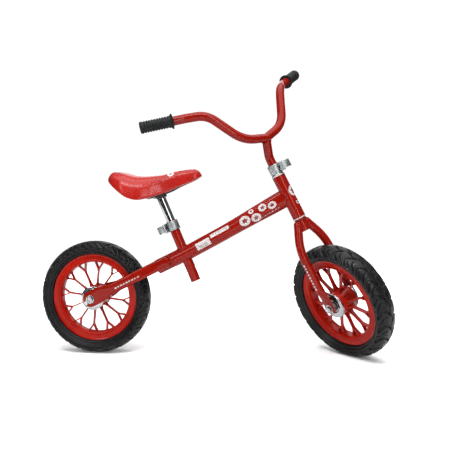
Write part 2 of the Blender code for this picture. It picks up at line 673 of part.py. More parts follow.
def fork_pieces(steering, front_axle, finishes):
    steerer = piece("steerer_tube", pipe(STEERER_BORE, STEERER_RADIUS, STEERER_LOW, STEERER_TOP),
                    finishes["frame"], steering)
    slit = extruded([(-20 * MM, -1 * MM), (0, -1 * MM), (0, 1 * MM), (-20 * MM, 1 * MM)],
                    STEERER_TOP - 30 * MM, STEERER_TOP + 5 * MM)
    boolean(steerer, slit)
    for hand, side in (("right", -1), ("left", 1)):
        fork_blade(hand, side, front_axle, finishes["frame"], steering)
    bore = STEERER_RADIUS + GAP
    race_high = HEAD_TUBE_LOW - 3.9 * MM
    piece("crown_race", pipe(bore, 15.5 * MM, race_high - 5 * MM, race_high), finishes["frame"], steering)
    nut_low = HEAD_TUBE_TOP + 3.6 * MM
    lock_nut = turned([(bore, nut_low), (16 * MM, nut_low), (14.6 * MM, BAR_CLAMP_LOW - GAP),
                       (bore, BAR_CLAMP_LOW - GAP)])
    piece("headset_lock_nut", lock_nut, finishes["steel"], steering)


def bent_tube(path, side, sides):
    """Open-ended tube of the bar's diameter and wall along a path."""
    stations = list(zip(path, tangents(path)))
    outer, inner = ([section(point, tangent, side, radius, radius, sides) for point, tangent in stations]
                    for radius in (BAR_RADIUS, BAR_RADIUS - BAR_WALL))
    return hollow_lofted(outer, inner)


def bar_path():
    half = [Vector(bend[:3]) * MM for bend in BAR_BENDS]
    radii = [bend[3] * MM for bend in BAR_BENDS]
    right = [Vector((p.x, -p.y, p.z)) for p in half[:0:-1]]
    all_radii = radii[-2:0:-1] + radii[:-1]
    return rounded_path(right + half, all_radii, 3)


def grip(hand, side, finish, steering):
    """Rubber grip with a flange at its inner end and a closed cap over the bar's end."""
    end = Vector((BAR_BENDS[-1][0], BAR_BENDS[-1][1] * side, BAR_BENDS[-1][2])) * MM
    bend = Vector((BAR_BENDS[-2][0], BAR_BENDS[-2][1] * side, BAR_BENDS[-2][2])) * MM
    direction = (end - bend).normalized()
    bore = BAR_RADIUS + GAP
    outline = [(bore, 0), (GRIP_FLANGE_RADIUS, 0), (GRIP_FLANGE_RADIUS, 2.4 * MM),
               (GRIP_RADIUS, 6 * MM), (GRIP_RADIUS, GRIP_LENGTH - 1.5 * MM),
               (GRIP_RADIUS - 1.5 * MM, GRIP_LENGTH), (0, GRIP_LENGTH),
               (0, GRIP_LENGTH - GRIP_CAP), (bore, GRIP_LENGTH - GRIP_CAP)]
    shape = turned(outline, 20)
    shape.transform(along(direction, end - direction * (GRIP_LENGTH - GRIP_CAP - GAP)))
    piece("grip_" + hand, shape, finish, steering)


def handlebar_pieces(steering, finishes):
    piece("handlebar", bent_tube(bar_path(), Vector((1, 0, 0)), 12), finishes["frame"], steering)
    joint = Vector(BAR_BENDS[0][:3]) * MM
    corners = [Vector((0, 0, STEM_FOOT)), Vector((0, 0, STEM_BEND)), joint]
    stem_path = rounded_path(corners, [40 * MM], 4)
    stem = piece("stem", bent_tube(stem_path, Vector((0, 1, 0)), 16), finishes["frame"], steering)
    across = Matrix.Translation(joint) @ Matrix.Rotation(-pi / 2, 4, "X")
    boolean(stem, rod(BAR_RADIUS + GAP, -40 * MM, 40 * MM), "DIFFERENCE", across)
    for hand, side in (("right", -1), ("left", 1)):
        grip(hand, side, finishes["grip"], steering)


# ---------------------------------------------------------------- seat post and saddle

def seat_post_pieces(seat, frame, finishes):
    piece("seat_post", pipe(POST_BORE, POST_RADIUS, POST_FOOT, POST_TOP), finishes["chrome"], seat)
    corners = ((150, 410), (152, 420), (163, 424), (193, 424), (201, 412), (180, 405), (158, 405))
    block = piece("saddle_clamp_block", extruded([(x * MM, z * MM) for x, z in corners], -BLOCK_HALF_WIDTH,
                                                 BLOCK_HALF_WIDTH, "XZ"), finishes["bracket"], frame)
    boolean(block, rod(POST_RADIUS + GAP, 200 * MM, 280 * MM), "DIFFERENCE",
            along(seat_direction(), SEAT_TUBE_FOOT))
    across = Matrix.Translation(SADDLE_PIVOT) @ Matrix.Rotation(-pi / 2, 4, "X")
    boolean(block, rod(3.3 * MM, -30 * MM, 30 * MM, 16), "DIFFERENCE", across)
    seat_face = CUP_OUTER + GAP
    bolt = turned([(0, -seat_face - 4.2 * MM), (6.2 * MM, -seat_face - 4.2 * MM), (6.2 * MM, -seat_face),
                   (3.0 * MM, -seat_face), (3.0 * MM, seat_face + 6.2 * MM), (0, seat_face + 6.2 * MM)], 16)
    bolt.transform(across)
    piece("saddle_clamp_bolt", bolt, finishes["chrome"], frame)
    nut = pipe(3.3 * MM, 6.5 * MM, seat_face, seat_face + 5.2 * MM, 12)
    nut.transform(across)
    piece("saddle_clamp_nut", nut, finishes["chrome"], frame)


def saddle_line(table, x):
    return smooth_line([(a * MM, b * MM) for a, b in table], x)


def saddle_section(x, inset, thickness):
    """Closed loop across the saddle at a distance from the tail: over the top, back underneath."""
    top = saddle_line(SADDLE_TOP, x)
    skirt = saddle_line(SADDLE_SKIRT, x)
    half = saddle_line(SADDLE_HALF_WIDTH, x)
    loop = []
    for depth, order in ((inset, 1), (inset + thickness, -1)):
        wide = max(half - depth, half * 0.25)
        high = max(top - skirt - depth, (top - skirt) * 0.25)
        steps = 12
        for k in range(steps + 1)[::order]:
            angle = pi * k / steps
            c = cos(angle)
            y = -wide * abs(c) ** 0.8 * (1 if c > 0 else -1)
            loop.append(Vector((SADDLE_REAR_X + x, y, skirt + high * sin(angle) ** 0.8)))
    return loop


def saddle_pieces(tilt, finishes):
    shares = (0, 4, 12, 24, 40, 60, 85, 112, 146, 175, 205, 228, 239, 247)
    offset = -SADDLE_PIVOT
    cover = lofted([saddle_section(x * MM, 0.0, PAD_THICKNESS) for x in shares])
    bmesh.ops.translate(cover, verts=cover.verts, vec=offset)
    piece("saddle_cover", cover, finishes["saddle"], tilt, radians(60))
    inner = lofted([saddle_section(x * MM, PAD_THICKNESS + 4 * GAP, SHELL_THICKNESS)
                    for x in shares if 24 <= x <= 205])
    bmesh.ops.translate(inner, verts=inner.verts, vec=offset)
    piece("saddle_shell", inner, finishes["bracket"], tilt, radians(60))

    spread = RAIL_SPREAD / MM
    bends = ((94, spread + 2, 447), (112, spread, RAIL_HEIGHT), (187, spread, RAIL_HEIGHT), (222, 7, 446))
    left = [Vector(bend) * MM for bend in bends]
    right = [Vector((p.x, -p.y, p.z)) for p in left[::-1]]
    path = rounded_path(left + right, [16 * MM, 16 * MM, 6 * MM, 6 * MM, 16 * MM, 16 * MM], 3)
    rails = swept_round(path, RAIL_RADIUS, 8)
    bmesh.ops.translate(rails, verts=rails.verts, vec=offset)
    piece("saddle_rails", rails, finishes["steel"], tilt)
    for hand, side in (("right", -1), ("left", 1)):
        outline = [(3.3 * MM, CUP_INNER * side), (CUP_RADIUS, CUP_INNER * side),
                   (CUP_RADIUS - 2 * MM, CUP_OUTER * side), (3.3 * MM, CUP_OUTER * side)]
        cup = turned(outline, SMALL_SEGMENTS, "Y")
        piece("saddle_clamp_cup_" + hand, cup, finishes["bracket"], tilt)


def swept_round(path, radius, sides):
    """Round wire along any path, with its section carried along without twist."""
    loops = []
    side = Vector((0, 0, 1))
    for point, tangent in zip(path, tangents(path)):
        side = (side - tangent * side.dot(tangent)).normalized()
        loops.append(section(point, tangent, side, radius, radius, sides))
    return lofted(loops)


# ---------------------------------------------------------------- assembly

def finishes():
    return {
        "frame": material("red_paint", (0.52, 0.012, 0.012), 0.22),
        "wheel": material("red_plastic", (0.55, 0.014, 0.012), 0.35),
        "tyre": material("black_tyre", (0.022, 0.023, 0.024), 0.75),
        "grip": material("black_rubber", (0.025, 0.026, 0.027), 0.7),
        "chrome": material("chrome", (0.72, 0.73, 0.74), 0.12, 1.0),
        "steel": material("zinc_steel", (0.45, 0.45, 0.46), 0.4, 1.0),
        "clamp": material("clamp_aluminium", (0.42, 0.42, 0.44), 0.35, 1.0),
        "headset": material("headset_white", (0.8, 0.8, 0.8), 0.3),
        "bracket": material("black_plastic", (0.02, 0.02, 0.02), 0.5),
        "saddle": material("red_saddle", (0.6, 0.02, 0.018), 0.35),
    }


def front_axle_distance():
    """Distance up the steering axis to the front axle that sets the leaning tyre on the ground."""
    lean = asin(sin(HEAD_LEAN) * sin(STEER_TURN))
    offsets = [TYRE_HALF_WIDTH * k / 50 for k in range(51)]
    height = max(tyre_crown(a) * cos(lean) + a * sin(lean) for a in offsets)
    return height / cos(HEAD_LEAN)


def build():
    clear_scene()
    looks = finishes()
    frame = empty("frame_origin", None, -BOX_MIDDLE)
    seat_turn = Matrix.Rotation(-SEAT_LEAN, 3, "Y")
    seat = empty("seat_axis", frame, SEAT_TUBE_FOOT, seat_turn)
    steer_foot = Vector((STEER_GROUND_X, 0.0, 0.0))
    head = empty("head_axis", frame, steer_foot, Matrix.Rotation(-HEAD_LEAN, 3, "Y"))
    steering = empty("steering_axis", head, Vector((0, 0, 0)), Matrix.Rotation(-STEER_TURN, 3, "Z"))

    frame_pieces(frame, seat, head, looks)
    rear_hub = empty("rear_wheel_axis", frame, Vector((0.0, 0.0, TYRE_RADIUS)))
    axle_set("rear", rear_hub, looks)
    wheel("rear", rear_hub, REAR_SPOKE_PHASE, looks)

    front_axle = front_axle_distance()
    fork_pieces(steering, front_axle, looks)
    front_hub = empty("front_wheel_axis", steering, Vector((0.0, 0.0, front_axle)))
    axle_set("front", front_hub, looks)
    wheel("front", front_hub, FRONT_SPOKE_PHASE, looks)
    handlebar_pieces(steering, looks)
    bar_clamp = empty("bar_clamp_axis", steering, Vector((0, 0, 0)),
                      Matrix.Rotation(BAR_CLAMP_EAR_ANGLE, 3, "Z") @ Matrix.Rotation(pi, 3, "X"))
    clamp("bar_clamp", bar_clamp, -BAR_CLAMP_LOW - CLAMP_HEIGHT, looks)

    seat_clamp = empty("seat_clamp_axis", seat, Vector((0, 0, 0)), Matrix.Rotation(pi, 3, "Z"))
    clamp("seat_clamp", seat_clamp, SEAT_CLAMP_LOW, looks)
    seat_post_pieces(seat, frame, looks)
    tilt = empty("saddle_tilt_axis", frame, SADDLE_PIVOT)
    saddle_pieces(tilt, looks)


build()
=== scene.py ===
"""Looks for the balance bike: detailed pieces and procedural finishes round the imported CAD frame.

Shapes are drawn in the same axes as the CAD, in metres, and moved to the row frame when they are made.
"""
import json
from math import acos, asin, cos, exp, pi, radians, sin, sqrt, tan
import bmesh
import bpy
import numpy as np
from mathutils import Matrix, Vector
from mathutils.bvhtree import BVHTree


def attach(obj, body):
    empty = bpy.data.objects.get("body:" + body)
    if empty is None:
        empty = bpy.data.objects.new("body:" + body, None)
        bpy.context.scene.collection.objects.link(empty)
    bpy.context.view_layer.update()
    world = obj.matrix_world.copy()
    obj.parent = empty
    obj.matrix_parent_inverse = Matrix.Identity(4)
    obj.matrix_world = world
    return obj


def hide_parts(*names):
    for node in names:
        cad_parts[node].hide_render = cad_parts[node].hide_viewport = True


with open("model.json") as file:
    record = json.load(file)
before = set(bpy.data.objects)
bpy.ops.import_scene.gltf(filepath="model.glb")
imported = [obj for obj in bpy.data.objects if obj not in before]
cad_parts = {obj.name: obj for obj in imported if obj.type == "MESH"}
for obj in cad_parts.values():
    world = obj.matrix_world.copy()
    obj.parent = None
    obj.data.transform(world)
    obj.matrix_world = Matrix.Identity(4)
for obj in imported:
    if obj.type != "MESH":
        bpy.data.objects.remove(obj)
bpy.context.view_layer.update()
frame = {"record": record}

MM = 0.001
GAP = 0.3 * MM
BODY_OF = {node: body for body, nodes in frame["record"]["behaviour"]["bodies"].items() for node in nodes}
HANDS = (("right", -1), ("left", 1))

# Layout, as in the CAD
BOX_MIDDLE = Vector((308.5, 36.3, 0.0)) * MM
STEER_GROUND_X = 713.2 * MM
HEAD_LEAN = radians(25.9)
STEER_TURN = radians(46.7)
SEAT_LEAN = radians(21.9)
SEAT_TUBE_FOOT = Vector((273.0, 0.0, 193.0)) * MM
TYRE_RADIUS = 149.0 * MM
TYRE_HALF_WIDTH = 29.5 * MM
TYRE_SHOULDER_DROP = 12.6 * MM
HUB_HALF_LENGTH = 28.5 * MM
SPOKE_COUNT = 12
REAR_SPOKE_PHASE = radians(-7.2)
FRONT_SPOKE_PHASE = radians(-3.0)
AXLE_RADIUS = 4.75 * MM
DROPOUT_INNER = 40.3 * MM
DROPOUT_THICKNESS = 4.4 * MM
SADDLE_STEPS = 44
MAIN_TUBE_PATH = ((174.0, 229.0), (262.0, 270.7), (350.0, 317.0), (430.0, 361.5), (521.0, 411.5))
MAIN_TUBE_RADIUS = 19.0 * MM
HEAD_TUBE_RADIUS = 16.5 * MM
HEAD_TUBE_LOW = 394.7 * MM
HEAD_TUBE_TOP = 509.0 * MM
SEAT_TUBE_RADIUS = 12.7 * MM
SEAT_TUBE_LENGTH = 168.0 * MM
STAY_SLOPE = radians(25.7)
STAY_HALF_HEIGHT = 14.0 * MM
STAY_HALF_THICKNESS = 6.0 * MM
STAY_DROPOUT_RADIUS = 20.5 * MM
STAY_FRONT_REACH = 231.0 * MM
STAY_RUN = Vector((cos(STAY_SLOPE), 0.0, sin(STAY_SLOPE)))
STAY_RISE = Vector((-sin(STAY_SLOPE), 0.0, cos(STAY_SLOPE)))
REAR_AXLE = Vector((0.0, 0.0, TYRE_RADIUS))
STEERER_RADIUS = 12.7 * MM
BLADE_RADIUS = 10.4 * MM
BLADE_SPREAD = 46.3 * MM
FORK_DROPOUT_RADIUS = 16.0 * MM
BAR_BENDS = ((23.5, 0.0, 607.0, 15.0), (23.5, 67.0, 623.0, 80.0), (13.5, 124.0, 713.0, 60.0),
             (-14.0, 165.0, 728.5, 40.0), (-53.5, 261.0, 751.5, 0.0))
BAR_RADIUS = 11.1 * MM
GRIP_RADIUS = 14.4 * MM
GRIP_LENGTH = 79.0 * MM
GRIP_CAP = 3.0 * MM
CLAMP_HEIGHT = 24.0 * MM
CLAMP_RADIUS = 16.2 * MM
CLAMP_BOLT_X = 20.5 * MM
CLAMP_BOLT_RADIUS = 2.5 * MM
EAR_REACH = 25.0 * MM
EAR_HALF_GAP = 1.5 * MM
EAR_HALF_WIDTH = 5.0 * MM
LEVER_PIN_Y = 13.5 * MM
LEVER_PIN_RADIUS = 3.2 * MM
LEVER_BOSS_RADIUS = 6.5 * MM
LEVER_BOW_RADIUS = 20.5 * MM
LEVER_THICKNESS = 3.2 * MM
LEVER_HALF_HEIGHT = 9.5 * MM
SEAT_CLAMP_LOW = 142.5 * MM
BAR_CLAMP_LOW = 516.7 * MM
SADDLE_PIVOT = Vector((160.0, 0.0, 413.0)) * MM
POST_RADIUS = 11.1 * MM
SADDLE_REAR_X = 47.5 * MM
SADDLE_TOP = ((0, 464), (16, 478), (40, 476.5), (77, 467), (102, 465.6), (146, 468.5), (195, 478.7),
              (228, 481), (240, 476), (247, 466))
SADDLE_SKIRT = ((0, 459), (10, 451), (27, 438), (43, 426), (66, 412), (90, 406.5), (118, 411.5), (160, 424),
                (190, 437.5), (230, 454), (247, 463))
SADDLE_HALF_WIDTH = ((0, 12), (8, 30), (27, 50), (55, 61), (85, 62), (120, 50), (150, 35), (190, 23),
                     (228, 18), (240, 12), (247, 4))


def tyre_crown(offset):
    return TYRE_RADIUS - TYRE_SHOULDER_DROP * (abs(offset) / TYRE_HALF_WIDTH) ** 2.5


def front_axle_distance():
    lean = asin(sin(HEAD_LEAN) * sin(STEER_TURN))
    offsets = [TYRE_HALF_WIDTH * k / 50 for k in range(51)]
    return max(tyre_crown(a) * cos(lean) + a * sin(lean) for a in offsets) / cos(HEAD_LEAN)


def shift(x, y, z):
    return Matrix.Translation((x, y, z))


def turn(angle, axis):
    return Matrix.Rotation(angle, 4, axis)


BIKE = Matrix.Translation(-BOX_MIDDLE)
REAR_HUB = BIKE @ shift(0, 0, TYRE_RADIUS)
SEAT = BIKE @ Matrix.Translation(SEAT_TUBE_FOOT) @ turn(-SEAT_LEAN, "Y")
HEAD = BIKE @ shift(STEER_GROUND_X, 0, 0) @ turn(-HEAD_LEAN, "Y")
STEERING = HEAD @ turn(-STEER_TURN, "Z")
FRONT_AXLE = front_axle_distance()
FRONT_HUB = STEERING @ shift(0, 0, FRONT_AXLE)
BAR_CLAMP = STEERING @ turn(radians(40.0), "Z") @ turn(pi, "X")
SEAT_CLAMP = SEAT @ turn(pi, "Z")
SEAT_IN_BIKE = BIKE.inverted() @ SEAT
HEAD_IN_BIKE = BIKE.inverted() @ HEAD


# ---------------------------------------------------------------- finishes

def add_node(tree, kind, inputs=None, **settings):
    node = tree.nodes.new("ShaderNode" + kind)
    for key, value in settings.items():
        setattr(node, key, value)
    for key, value in (inputs or {}).items():
        if isinstance(value, bpy.types.NodeSocket):
            tree.links.new(value, node.inputs[key])
        else:
            node.inputs[key].default_value = value
    return node


class Finish:
    """A material whose colour, roughness and relief come from nodes in the object's own coordinates."""

    def __init__(self, name, place=Matrix.Identity(4), **values):
        self.material = bpy.data.materials.new(name)
        self.material.use_nodes = True
        self.tree = self.material.node_tree
        self.shader = self.tree.nodes["Principled BSDF"]
        for label, value in values.items():
            self.shader.inputs[label.replace("_", " ")].default_value = value
        self.place = self.add("TexCoord").outputs["Object"]
        if place != Matrix.Identity(4):
            self.place = self.add("Mapping", {"Vector": self.place, "Location": place.to_translation(),
                                              "Rotation": place.to_euler()},
                                  vector_type="TEXTURE").outputs["Vector"]

    def add(self, kind, inputs=None, **settings):
        return add_node(self.tree, kind, inputs, **settings)

    def noise(self, scale, detail, stretch=(1, 1, 1)):
        vector = self.place
        if stretch != (1, 1, 1):
            vector = self.add("Mapping", {"Vector": vector, "Scale": stretch}).outputs["Vector"]
        return self.add("TexNoise", {"Vector": vector, "Scale": scale, "Detail": detail,
                                     "Roughness": 0.55}).outputs["Fac"]

    def math(self, operation, first, second=0.0):
        return self.add("Math", {0: first, 1: second}, operation=operation).outputs[0]

    def times(self, first, second):
        return self.math("MULTIPLY", first, second)

    def length(self, first, second):
        return self.math("SQRT", self.math("ADD", self.times(first, first), self.times(second, second)))

    def remap(self, value, low, high, to_low=0.0, to_high=1.0):
        return self.add("MapRange", {"Value": value, "From Min": low, "From Max": high, "To Min": to_low,
                                     "To Max": to_high}, interpolation_type="SMOOTHSTEP").outputs["Result"]

    def mix(self, factor, first, second):
        return self.add("Mix", {0: factor, 6: first, 7: second}, data_type="RGBA").outputs[2]

    def split(self):
        return self.add("SeparateXYZ", {"Vector": self.place}).outputs

    def radius(self):
        """Distance from the place's Y axis."""
        x, _, z = self.split()
        return self.length(x, z)

    def relief(self, *layers):
        """Bumps from (height, depth) pairs, laid one on another."""
        normal = None
        for height, depth in layers:
            below = {"Normal": normal} if normal else {}
            bump = self.add("Bump", {"Height": height, "Distance": depth, "Strength": 1.0, **below})
            normal = bump.outputs["Normal"]
        self.wire("Normal", normal)

    def wire(self, label, source):
        self.tree.links.new(source, self.shader.inputs[label])


def rgb(red, green, blue):
    return (red, green, blue, 1.0)


def varied(finish, dark, light, scale, rough, rough_scale):
    """Cloudy colour between two tones, and a roughness that wanders with handling and dust."""
    cloud = finish.remap(finish.noise(scale, 4.0), 0.32, 0.68)
    finish.wire("Roughness", finish.remap(finish.noise(rough_scale, 5.0), 0.3, 0.7, *rough))
    return finish.mix(cloud, rgb(*dark), rgb(*light))


def plain(name, dark, light, scale, rough, rough_scale, layers, **values):
    """Cloudy finish of two tones, over a relief of (noise, depth in mm) layers."""
    finish = Finish(name, **values)
    finish.wire("Base Color", varied(finish, dark, light, scale, rough, rough_scale))
    finish.relief(*[(finish.noise(*noise), depth * MM) for noise, depth in layers])
    return finish.material


def red_paint():
    finish = Finish("red_paint_gloss", Coat_Weight=0.7, Coat_Roughness=0.09, Coat_IOR=1.3,
                    Specular_IOR_Level=0.0)
    base = varied(finish, (0.150, 0.0036, 0.0012), (0.182, 0.0052, 0.0020), 9.0, (0.30, 0.42), 60.0)
    speck = finish.remap(finish.noise(1400.0, 1.0), 0.70, 0.78)
    finish.wire("Base Color", finish.mix(speck, base, rgb(0.25, 0.010, 0.006)))
    finish.relief((finish.noise(520.0, 2.0), 0.010 * MM), (finish.noise(60.0, 2.0), 0.06 * MM))
    return finish.material


def red_plastic(name, place):
    """Moulded red, scuffed round the outside of the rim."""
    finish = Finish(name, place, Specular_IOR_Level=0.05, Coat_Weight=0.35, Coat_Roughness=0.10,
                    Coat_IOR=1.3)
    base = varied(finish, (0.23, 0.0040, 0.0010), (0.29, 0.0070, 0.0020), 16.0, (0.26, 0.40), 35.0)
    scuff = finish.times(finish.remap(finish.noise(240.0, 6.0, (1, 0.15, 1)), 0.60, 0.74),
                         finish.remap(finish.radius(), 0.090, 0.100))
    finish.wire("Base Color", finish.mix(scuff, base, rgb(0.34, 0.020, 0.012)))
    finish.relief((finish.noise(900.0, 3.0), 0.010 * MM), (finish.noise(28.0, 2.0), 0.15 * MM))
    return finish.material


def tyre_rubber(name, place):
    """Black rubber, lighter on the tread for dust and a painted sheen, with fine rings round the side wall.
    """
    finish = Finish(name, place, Specular_IOR_Level=0.16)
    base = varied(finish, (0.0026, 0.0028, 0.0032), (0.0050, 0.0052, 0.0058), 38.0, (0.26, 0.40), 90.0)
    radius = finish.radius()
    # Tread tops painted lighter grey: partly dust, partly a painted sheen.
    dust_and_sheen = finish.times(finish.remap(finish.noise(160.0, 6.0), 0.50, 0.72),
                        finish.remap(radius, 0.1425, 0.1485, 0.0, 0.18))
    finish.wire("Base Color", finish.mix(dust_and_sheen, base, rgb(0.07, 0.068, 0.064)))
    ring = finish.math("SINE", finish.times(radius, 2 * pi / (1.5 * MM)))
    wall = finish.times(finish.remap(radius, 0.1198, 0.1206), finish.remap(radius, 0.1270, 0.1278, 1.0, 0.0))
    finish.relief((finish.noise(1100.0, 3.0), 0.03 * MM), (finish.times(ring, wall), 0.10 * MM),
                  (finish.noise(220.0, 3.0), 0.06 * MM))
    return finish.material


def grip_rubber():
    return plain("grip_rubber", (0.004, 0.0044, 0.0048), (0.009, 0.0095, 0.010), 70.0, (0.4, 0.6), 150.0,
                 (((1500.0, 3.0), 0.10), ((300.0, 3.0), 0.15)), Specular_IOR_Level=0.14)


def chrome():
    return plain("bright_chrome", (0.30, 0.31, 0.32), (0.38, 0.39, 0.40), 22.0, (0.10, 0.18), 120.0,
                 (((180.0, 4.0, (1, 1, 0.08)), 0.02), ((900.0, 2.0), 0.01)), Metallic=1.0)


def zinc():
    return plain("zinc_plate", (0.30, 0.30, 0.31), (0.52, 0.52, 0.52), 120.0, (0.28, 0.48), 200.0,
                 (((1600.0, 4.0), 0.04),), Metallic=1.0)


def aluminium():
    """Satin metal with faint upright lines."""
    finish = Finish("satin_aluminium", Metallic=1.0)
    base = varied(finish, (0.24, 0.26, 0.26), (0.29, 0.31, 0.31), 60.0, (0.42, 0.50), 150.0)
    grain = finish.noise(1500.0, 2.0, (1, 1, 0.04))
    line = finish.times(finish.remap(grain, 0.35, 0.65), 0.25)
    finish.wire("Base Color", finish.mix(line, base, rgb(0.22, 0.23, 0.24)))
    finish.relief((grain, 0.010 * MM), (finish.noise(700.0, 3.0), 0.010 * MM))
    return finish.material


def white_plastic():
    return plain("headset_white", (0.34, 0.31, 0.30), (0.44, 0.41, 0.40), 80.0, (0.3, 0.45), 200.0,
                 (((1200.0, 3.0), 0.03),), Coat_Weight=0.3, Coat_Roughness=0.2)


def print_film(name, dark, light):
    """Printed film under the lacquer."""
    return plain(name, dark, light, 90.0, (0.35, 0.5), 260.0, (((900.0, 3.0), 0.02),),
                 Coat_Weight=0.4, Coat_Roughness=0.1)


def black_plastic():
    return plain("black_moulding", (0.008, 0.008, 0.0085), (0.018, 0.018, 0.019), 60.0, (0.35, 0.55), 140.0,
                 (((1300.0, 4.0), 0.08),), IOR=1.45)


def bearing_seal(name, place):
    """Steel races with a dark seal between them, told apart by the radius."""
    finish = Finish(name, place)
    radius = finish.radius()
    steel = finish.math("ADD", finish.remap(radius, 7.5 * MM, 7.8 * MM, 1.0, 0.0),
                        finish.remap(radius, 12.8 * MM, 13.1 * MM))
    mottled = varied(finish, (0.40, 0.40, 0.41), (0.55, 0.55, 0.56), 150.0, (0.25, 0.45), 200.0)
    finish.wire("Base Color", finish.mix(steel, rgb(0.010, 0.010, 0.011), mottled))
    finish.wire("Metallic", steel)
    finish.relief((finish.noise(1500.0, 3.0), 0.03 * MM))
    return finish.material


def saddle_skin():
    """Skinned foam in gloss red, with a plain white crown band and two oval patches."""
    finish = Finish("saddle_skin", Coat_Weight=0.55, Coat_Roughness=0.22, Coat_IOR=1.4,
                    Specular_IOR_Level=0.05)
    base = varied(finish, (0.25, 0.0065, 0.0040), (0.30, 0.009, 0.006), 12.0, (0.30, 0.42), 60.0)
    x, y, z = finish.split()
    x = finish.math("ADD", x, BOX_MIDDLE.x)
    y = finish.math("ABSOLUTE", finish.math("ADD", y, BOX_MIDDLE.y))
    along_crown = finish.times(finish.remap(x, 0.112, 0.150), finish.remap(x, 0.196, 0.212, 1.0, 0.0))
    band = finish.remap(finish.math("SUBTRACT", finish.times(along_crown, 11.0 * MM), y), 0.0, 0.8 * MM)
    oval = finish.length(finish.math("DIVIDE", finish.math("SUBTRACT", x, 0.216), 9.0 * MM),
                         finish.math("DIVIDE", finish.math("SUBTRACT", y, 0.014), 6.5 * MM))
    patch = finish.times(finish.remap(oval, 0.94, 1.0, 1.0, 0.0), finish.remap(oval, 0.42, 0.5))
    white = finish.times(finish.math("MAXIMUM", band, patch), finish.remap(z, 0.44, 0.45))
    finish.wire("Base Color", finish.mix(white, base, rgb(0.62, 0.60, 0.60)))
    grain = finish.add("TexVoronoi", {"Vector": finish.place, "Scale": 620.0}).outputs["Distance"]
    finish.relief((grain, 0.010 * MM), (finish.noise(45.0, 2.0), 0.10 * MM))
    return finish.material


# ---------------------------------------------------------------- shapes

def linked(name, data):
    made = bpy.data.objects.new(name, data)
    bpy.context.scene.collection.objects.link(made)
    return made


def surface_of(bm):
    """Search tree of a shape that is wanted for nothing else."""
    tree = BVHTree.FromBMesh(bm)
    bm.free()
    return tree


def landed(tree, origins, way):
    """Where rays from the origins first meet a surface, leaving out the rays that miss."""
    hits = [tree.ray_cast(origin, way)[0] for origin in origins]
    return [hit for hit in hits if hit is not None]


def facing_out(bm):
    bmesh.ops.recalc_face_normals(bm, faces=bm.faces)
    return bm


def rings_of(bm, loops):
    return [[bm.verts.new(point) for point in loop] for loop in loops]


def bridge(bm, *rings):
    """Faces between each ring and the next, all of one count."""
    for ring, after in zip(rings, rings[1:]):
        for k in range(len(ring)):
            m = (k + 1) % len(ring)
            bm.faces.new((ring[k], ring[m], after[m], after[k]))


def turned_point(radius, height, angle, axis):
    if axis == "Y":
        return Vector((radius * sin(angle), height, -radius * cos(angle)))
    return Vector((radius * cos(angle), radius * sin(angle), height))


def turned(profile, segments=72, axis="Z"):
    """Closed solid of revolution from a closed outline of (radius, height) points."""
    bm = bmesh.new()
    rings = []
    for radius, height in profile:
        if radius < 1e-6:
            rings.append([bm.verts.new(turned_point(0.0, height, 0.0, axis))])
        else:
            rings.append([bm.verts.new(turned_point(radius, height, 2 * pi * k / segments, axis))
                          for k in range(segments)])
    for ring, after in zip(rings, rings[1:] + rings[:1]):
        if len(ring) == 1 and len(after) == 1:
            continue
        for k in range(segments):
            corners = [ring[k % len(ring)], ring[(k + 1) % len(ring)],
                       after[(k + 1) % len(after)], after[k % len(after)]]
            bm.faces.new([v for n, v in enumerate(corners) if v not in corners[:n]])
    return facing_out(bm)


def rounded(corners, steps=4):
    """Closed outline from (x, y, radius) corners in millimetres, each rounded, in metres."""
    outline = []
    count = len(corners)
    for k, (x, y, radius) in enumerate(corners):
        corner = Vector((x, y))
        before = Vector(corners[k - 1][:2]) - corner
        after = Vector(corners[(k + 1) % count][:2]) - corner
        if radius <= 0 or before.length < 1e-6 or after.length < 1e-6:
            outline.append(tuple(corner * MM))
            continue
        angle = acos(max(-1.0, min(1.0, before.normalized().dot(after.normalized()))))
        setback = min(radius / tan(angle / 2), 0.49 * before.length, 0.49 * after.length)
        start, end = corner + before.normalized() * setback, corner + after.normalized() * setback
        for n in range(steps + 1):
            t = n / steps
            outline.append(tuple((start * (1 - t) ** 2 + corner * 2 * t * (1 - t) + end * t ** 2) * MM))
    return outline


def lathe(corners, segments=72, axis="Z", side=1):
    return turned([(r, h * side) for r, h in rounded(corners)], segments, axis)


def mirrored(half):
    """Corners of one side, followed by the same corners across the middle."""
    return half + [(r, -h, radius) for r, h, radius in half[::-1]]


def lofted(loops):
    bm = bmesh.new()
    rings = rings_of(bm, loops)
    bridge(bm, *rings)
    bm.faces.new(rings[0])
    bm.faces.new(rings[-1])
    return facing_out(bm)


def hollow_lofted(outer, inner):
    bm = bmesh.new()
    outside, inside = rings_of(bm, outer), rings_of(bm, inner)
    bridge(bm, *outside)
    bridge(bm, *inside)
    for end in (0, -1):
        bridge(bm, outside[end], inside[end])
    return facing_out(bm)


def extruded(outline, low, high, plane="XY", edge=0.0):
    """Closed prism from a flat outline along Z, or along Y for an XZ outline, its edges eased."""
    order = (0, 2, 1) if plane == "XZ" else (0, 1, 2)
    bm = lofted([[Vector([(*point, height)[k] for k in order]) for point in outline]
                 for height in (low, high)])
    if edge:
        rims = [e for e in bm.edges if any(len(f.verts) > 4 for f in e.link_faces)]
        bmesh.ops.bevel(bm, geom=rims, offset=edge, segments=3, profile=0.5, affect="EDGES")
    return bm


def slit(low, high):
    """Saw cut in the back of a tube, under its clamp."""
    return extruded([(-20 * MM, -MM), (0, -MM), (0, MM), (-20 * MM, MM)], low, high)


def joined(*parts):
    whole = bmesh.new()
    for part in parts:
        scratch = bpy.data.meshes.new("scratch")
        part.to_mesh(scratch)
        part.free()
        whole.from_mesh(scratch)
        bpy.data.meshes.remove(scratch)
    return whole


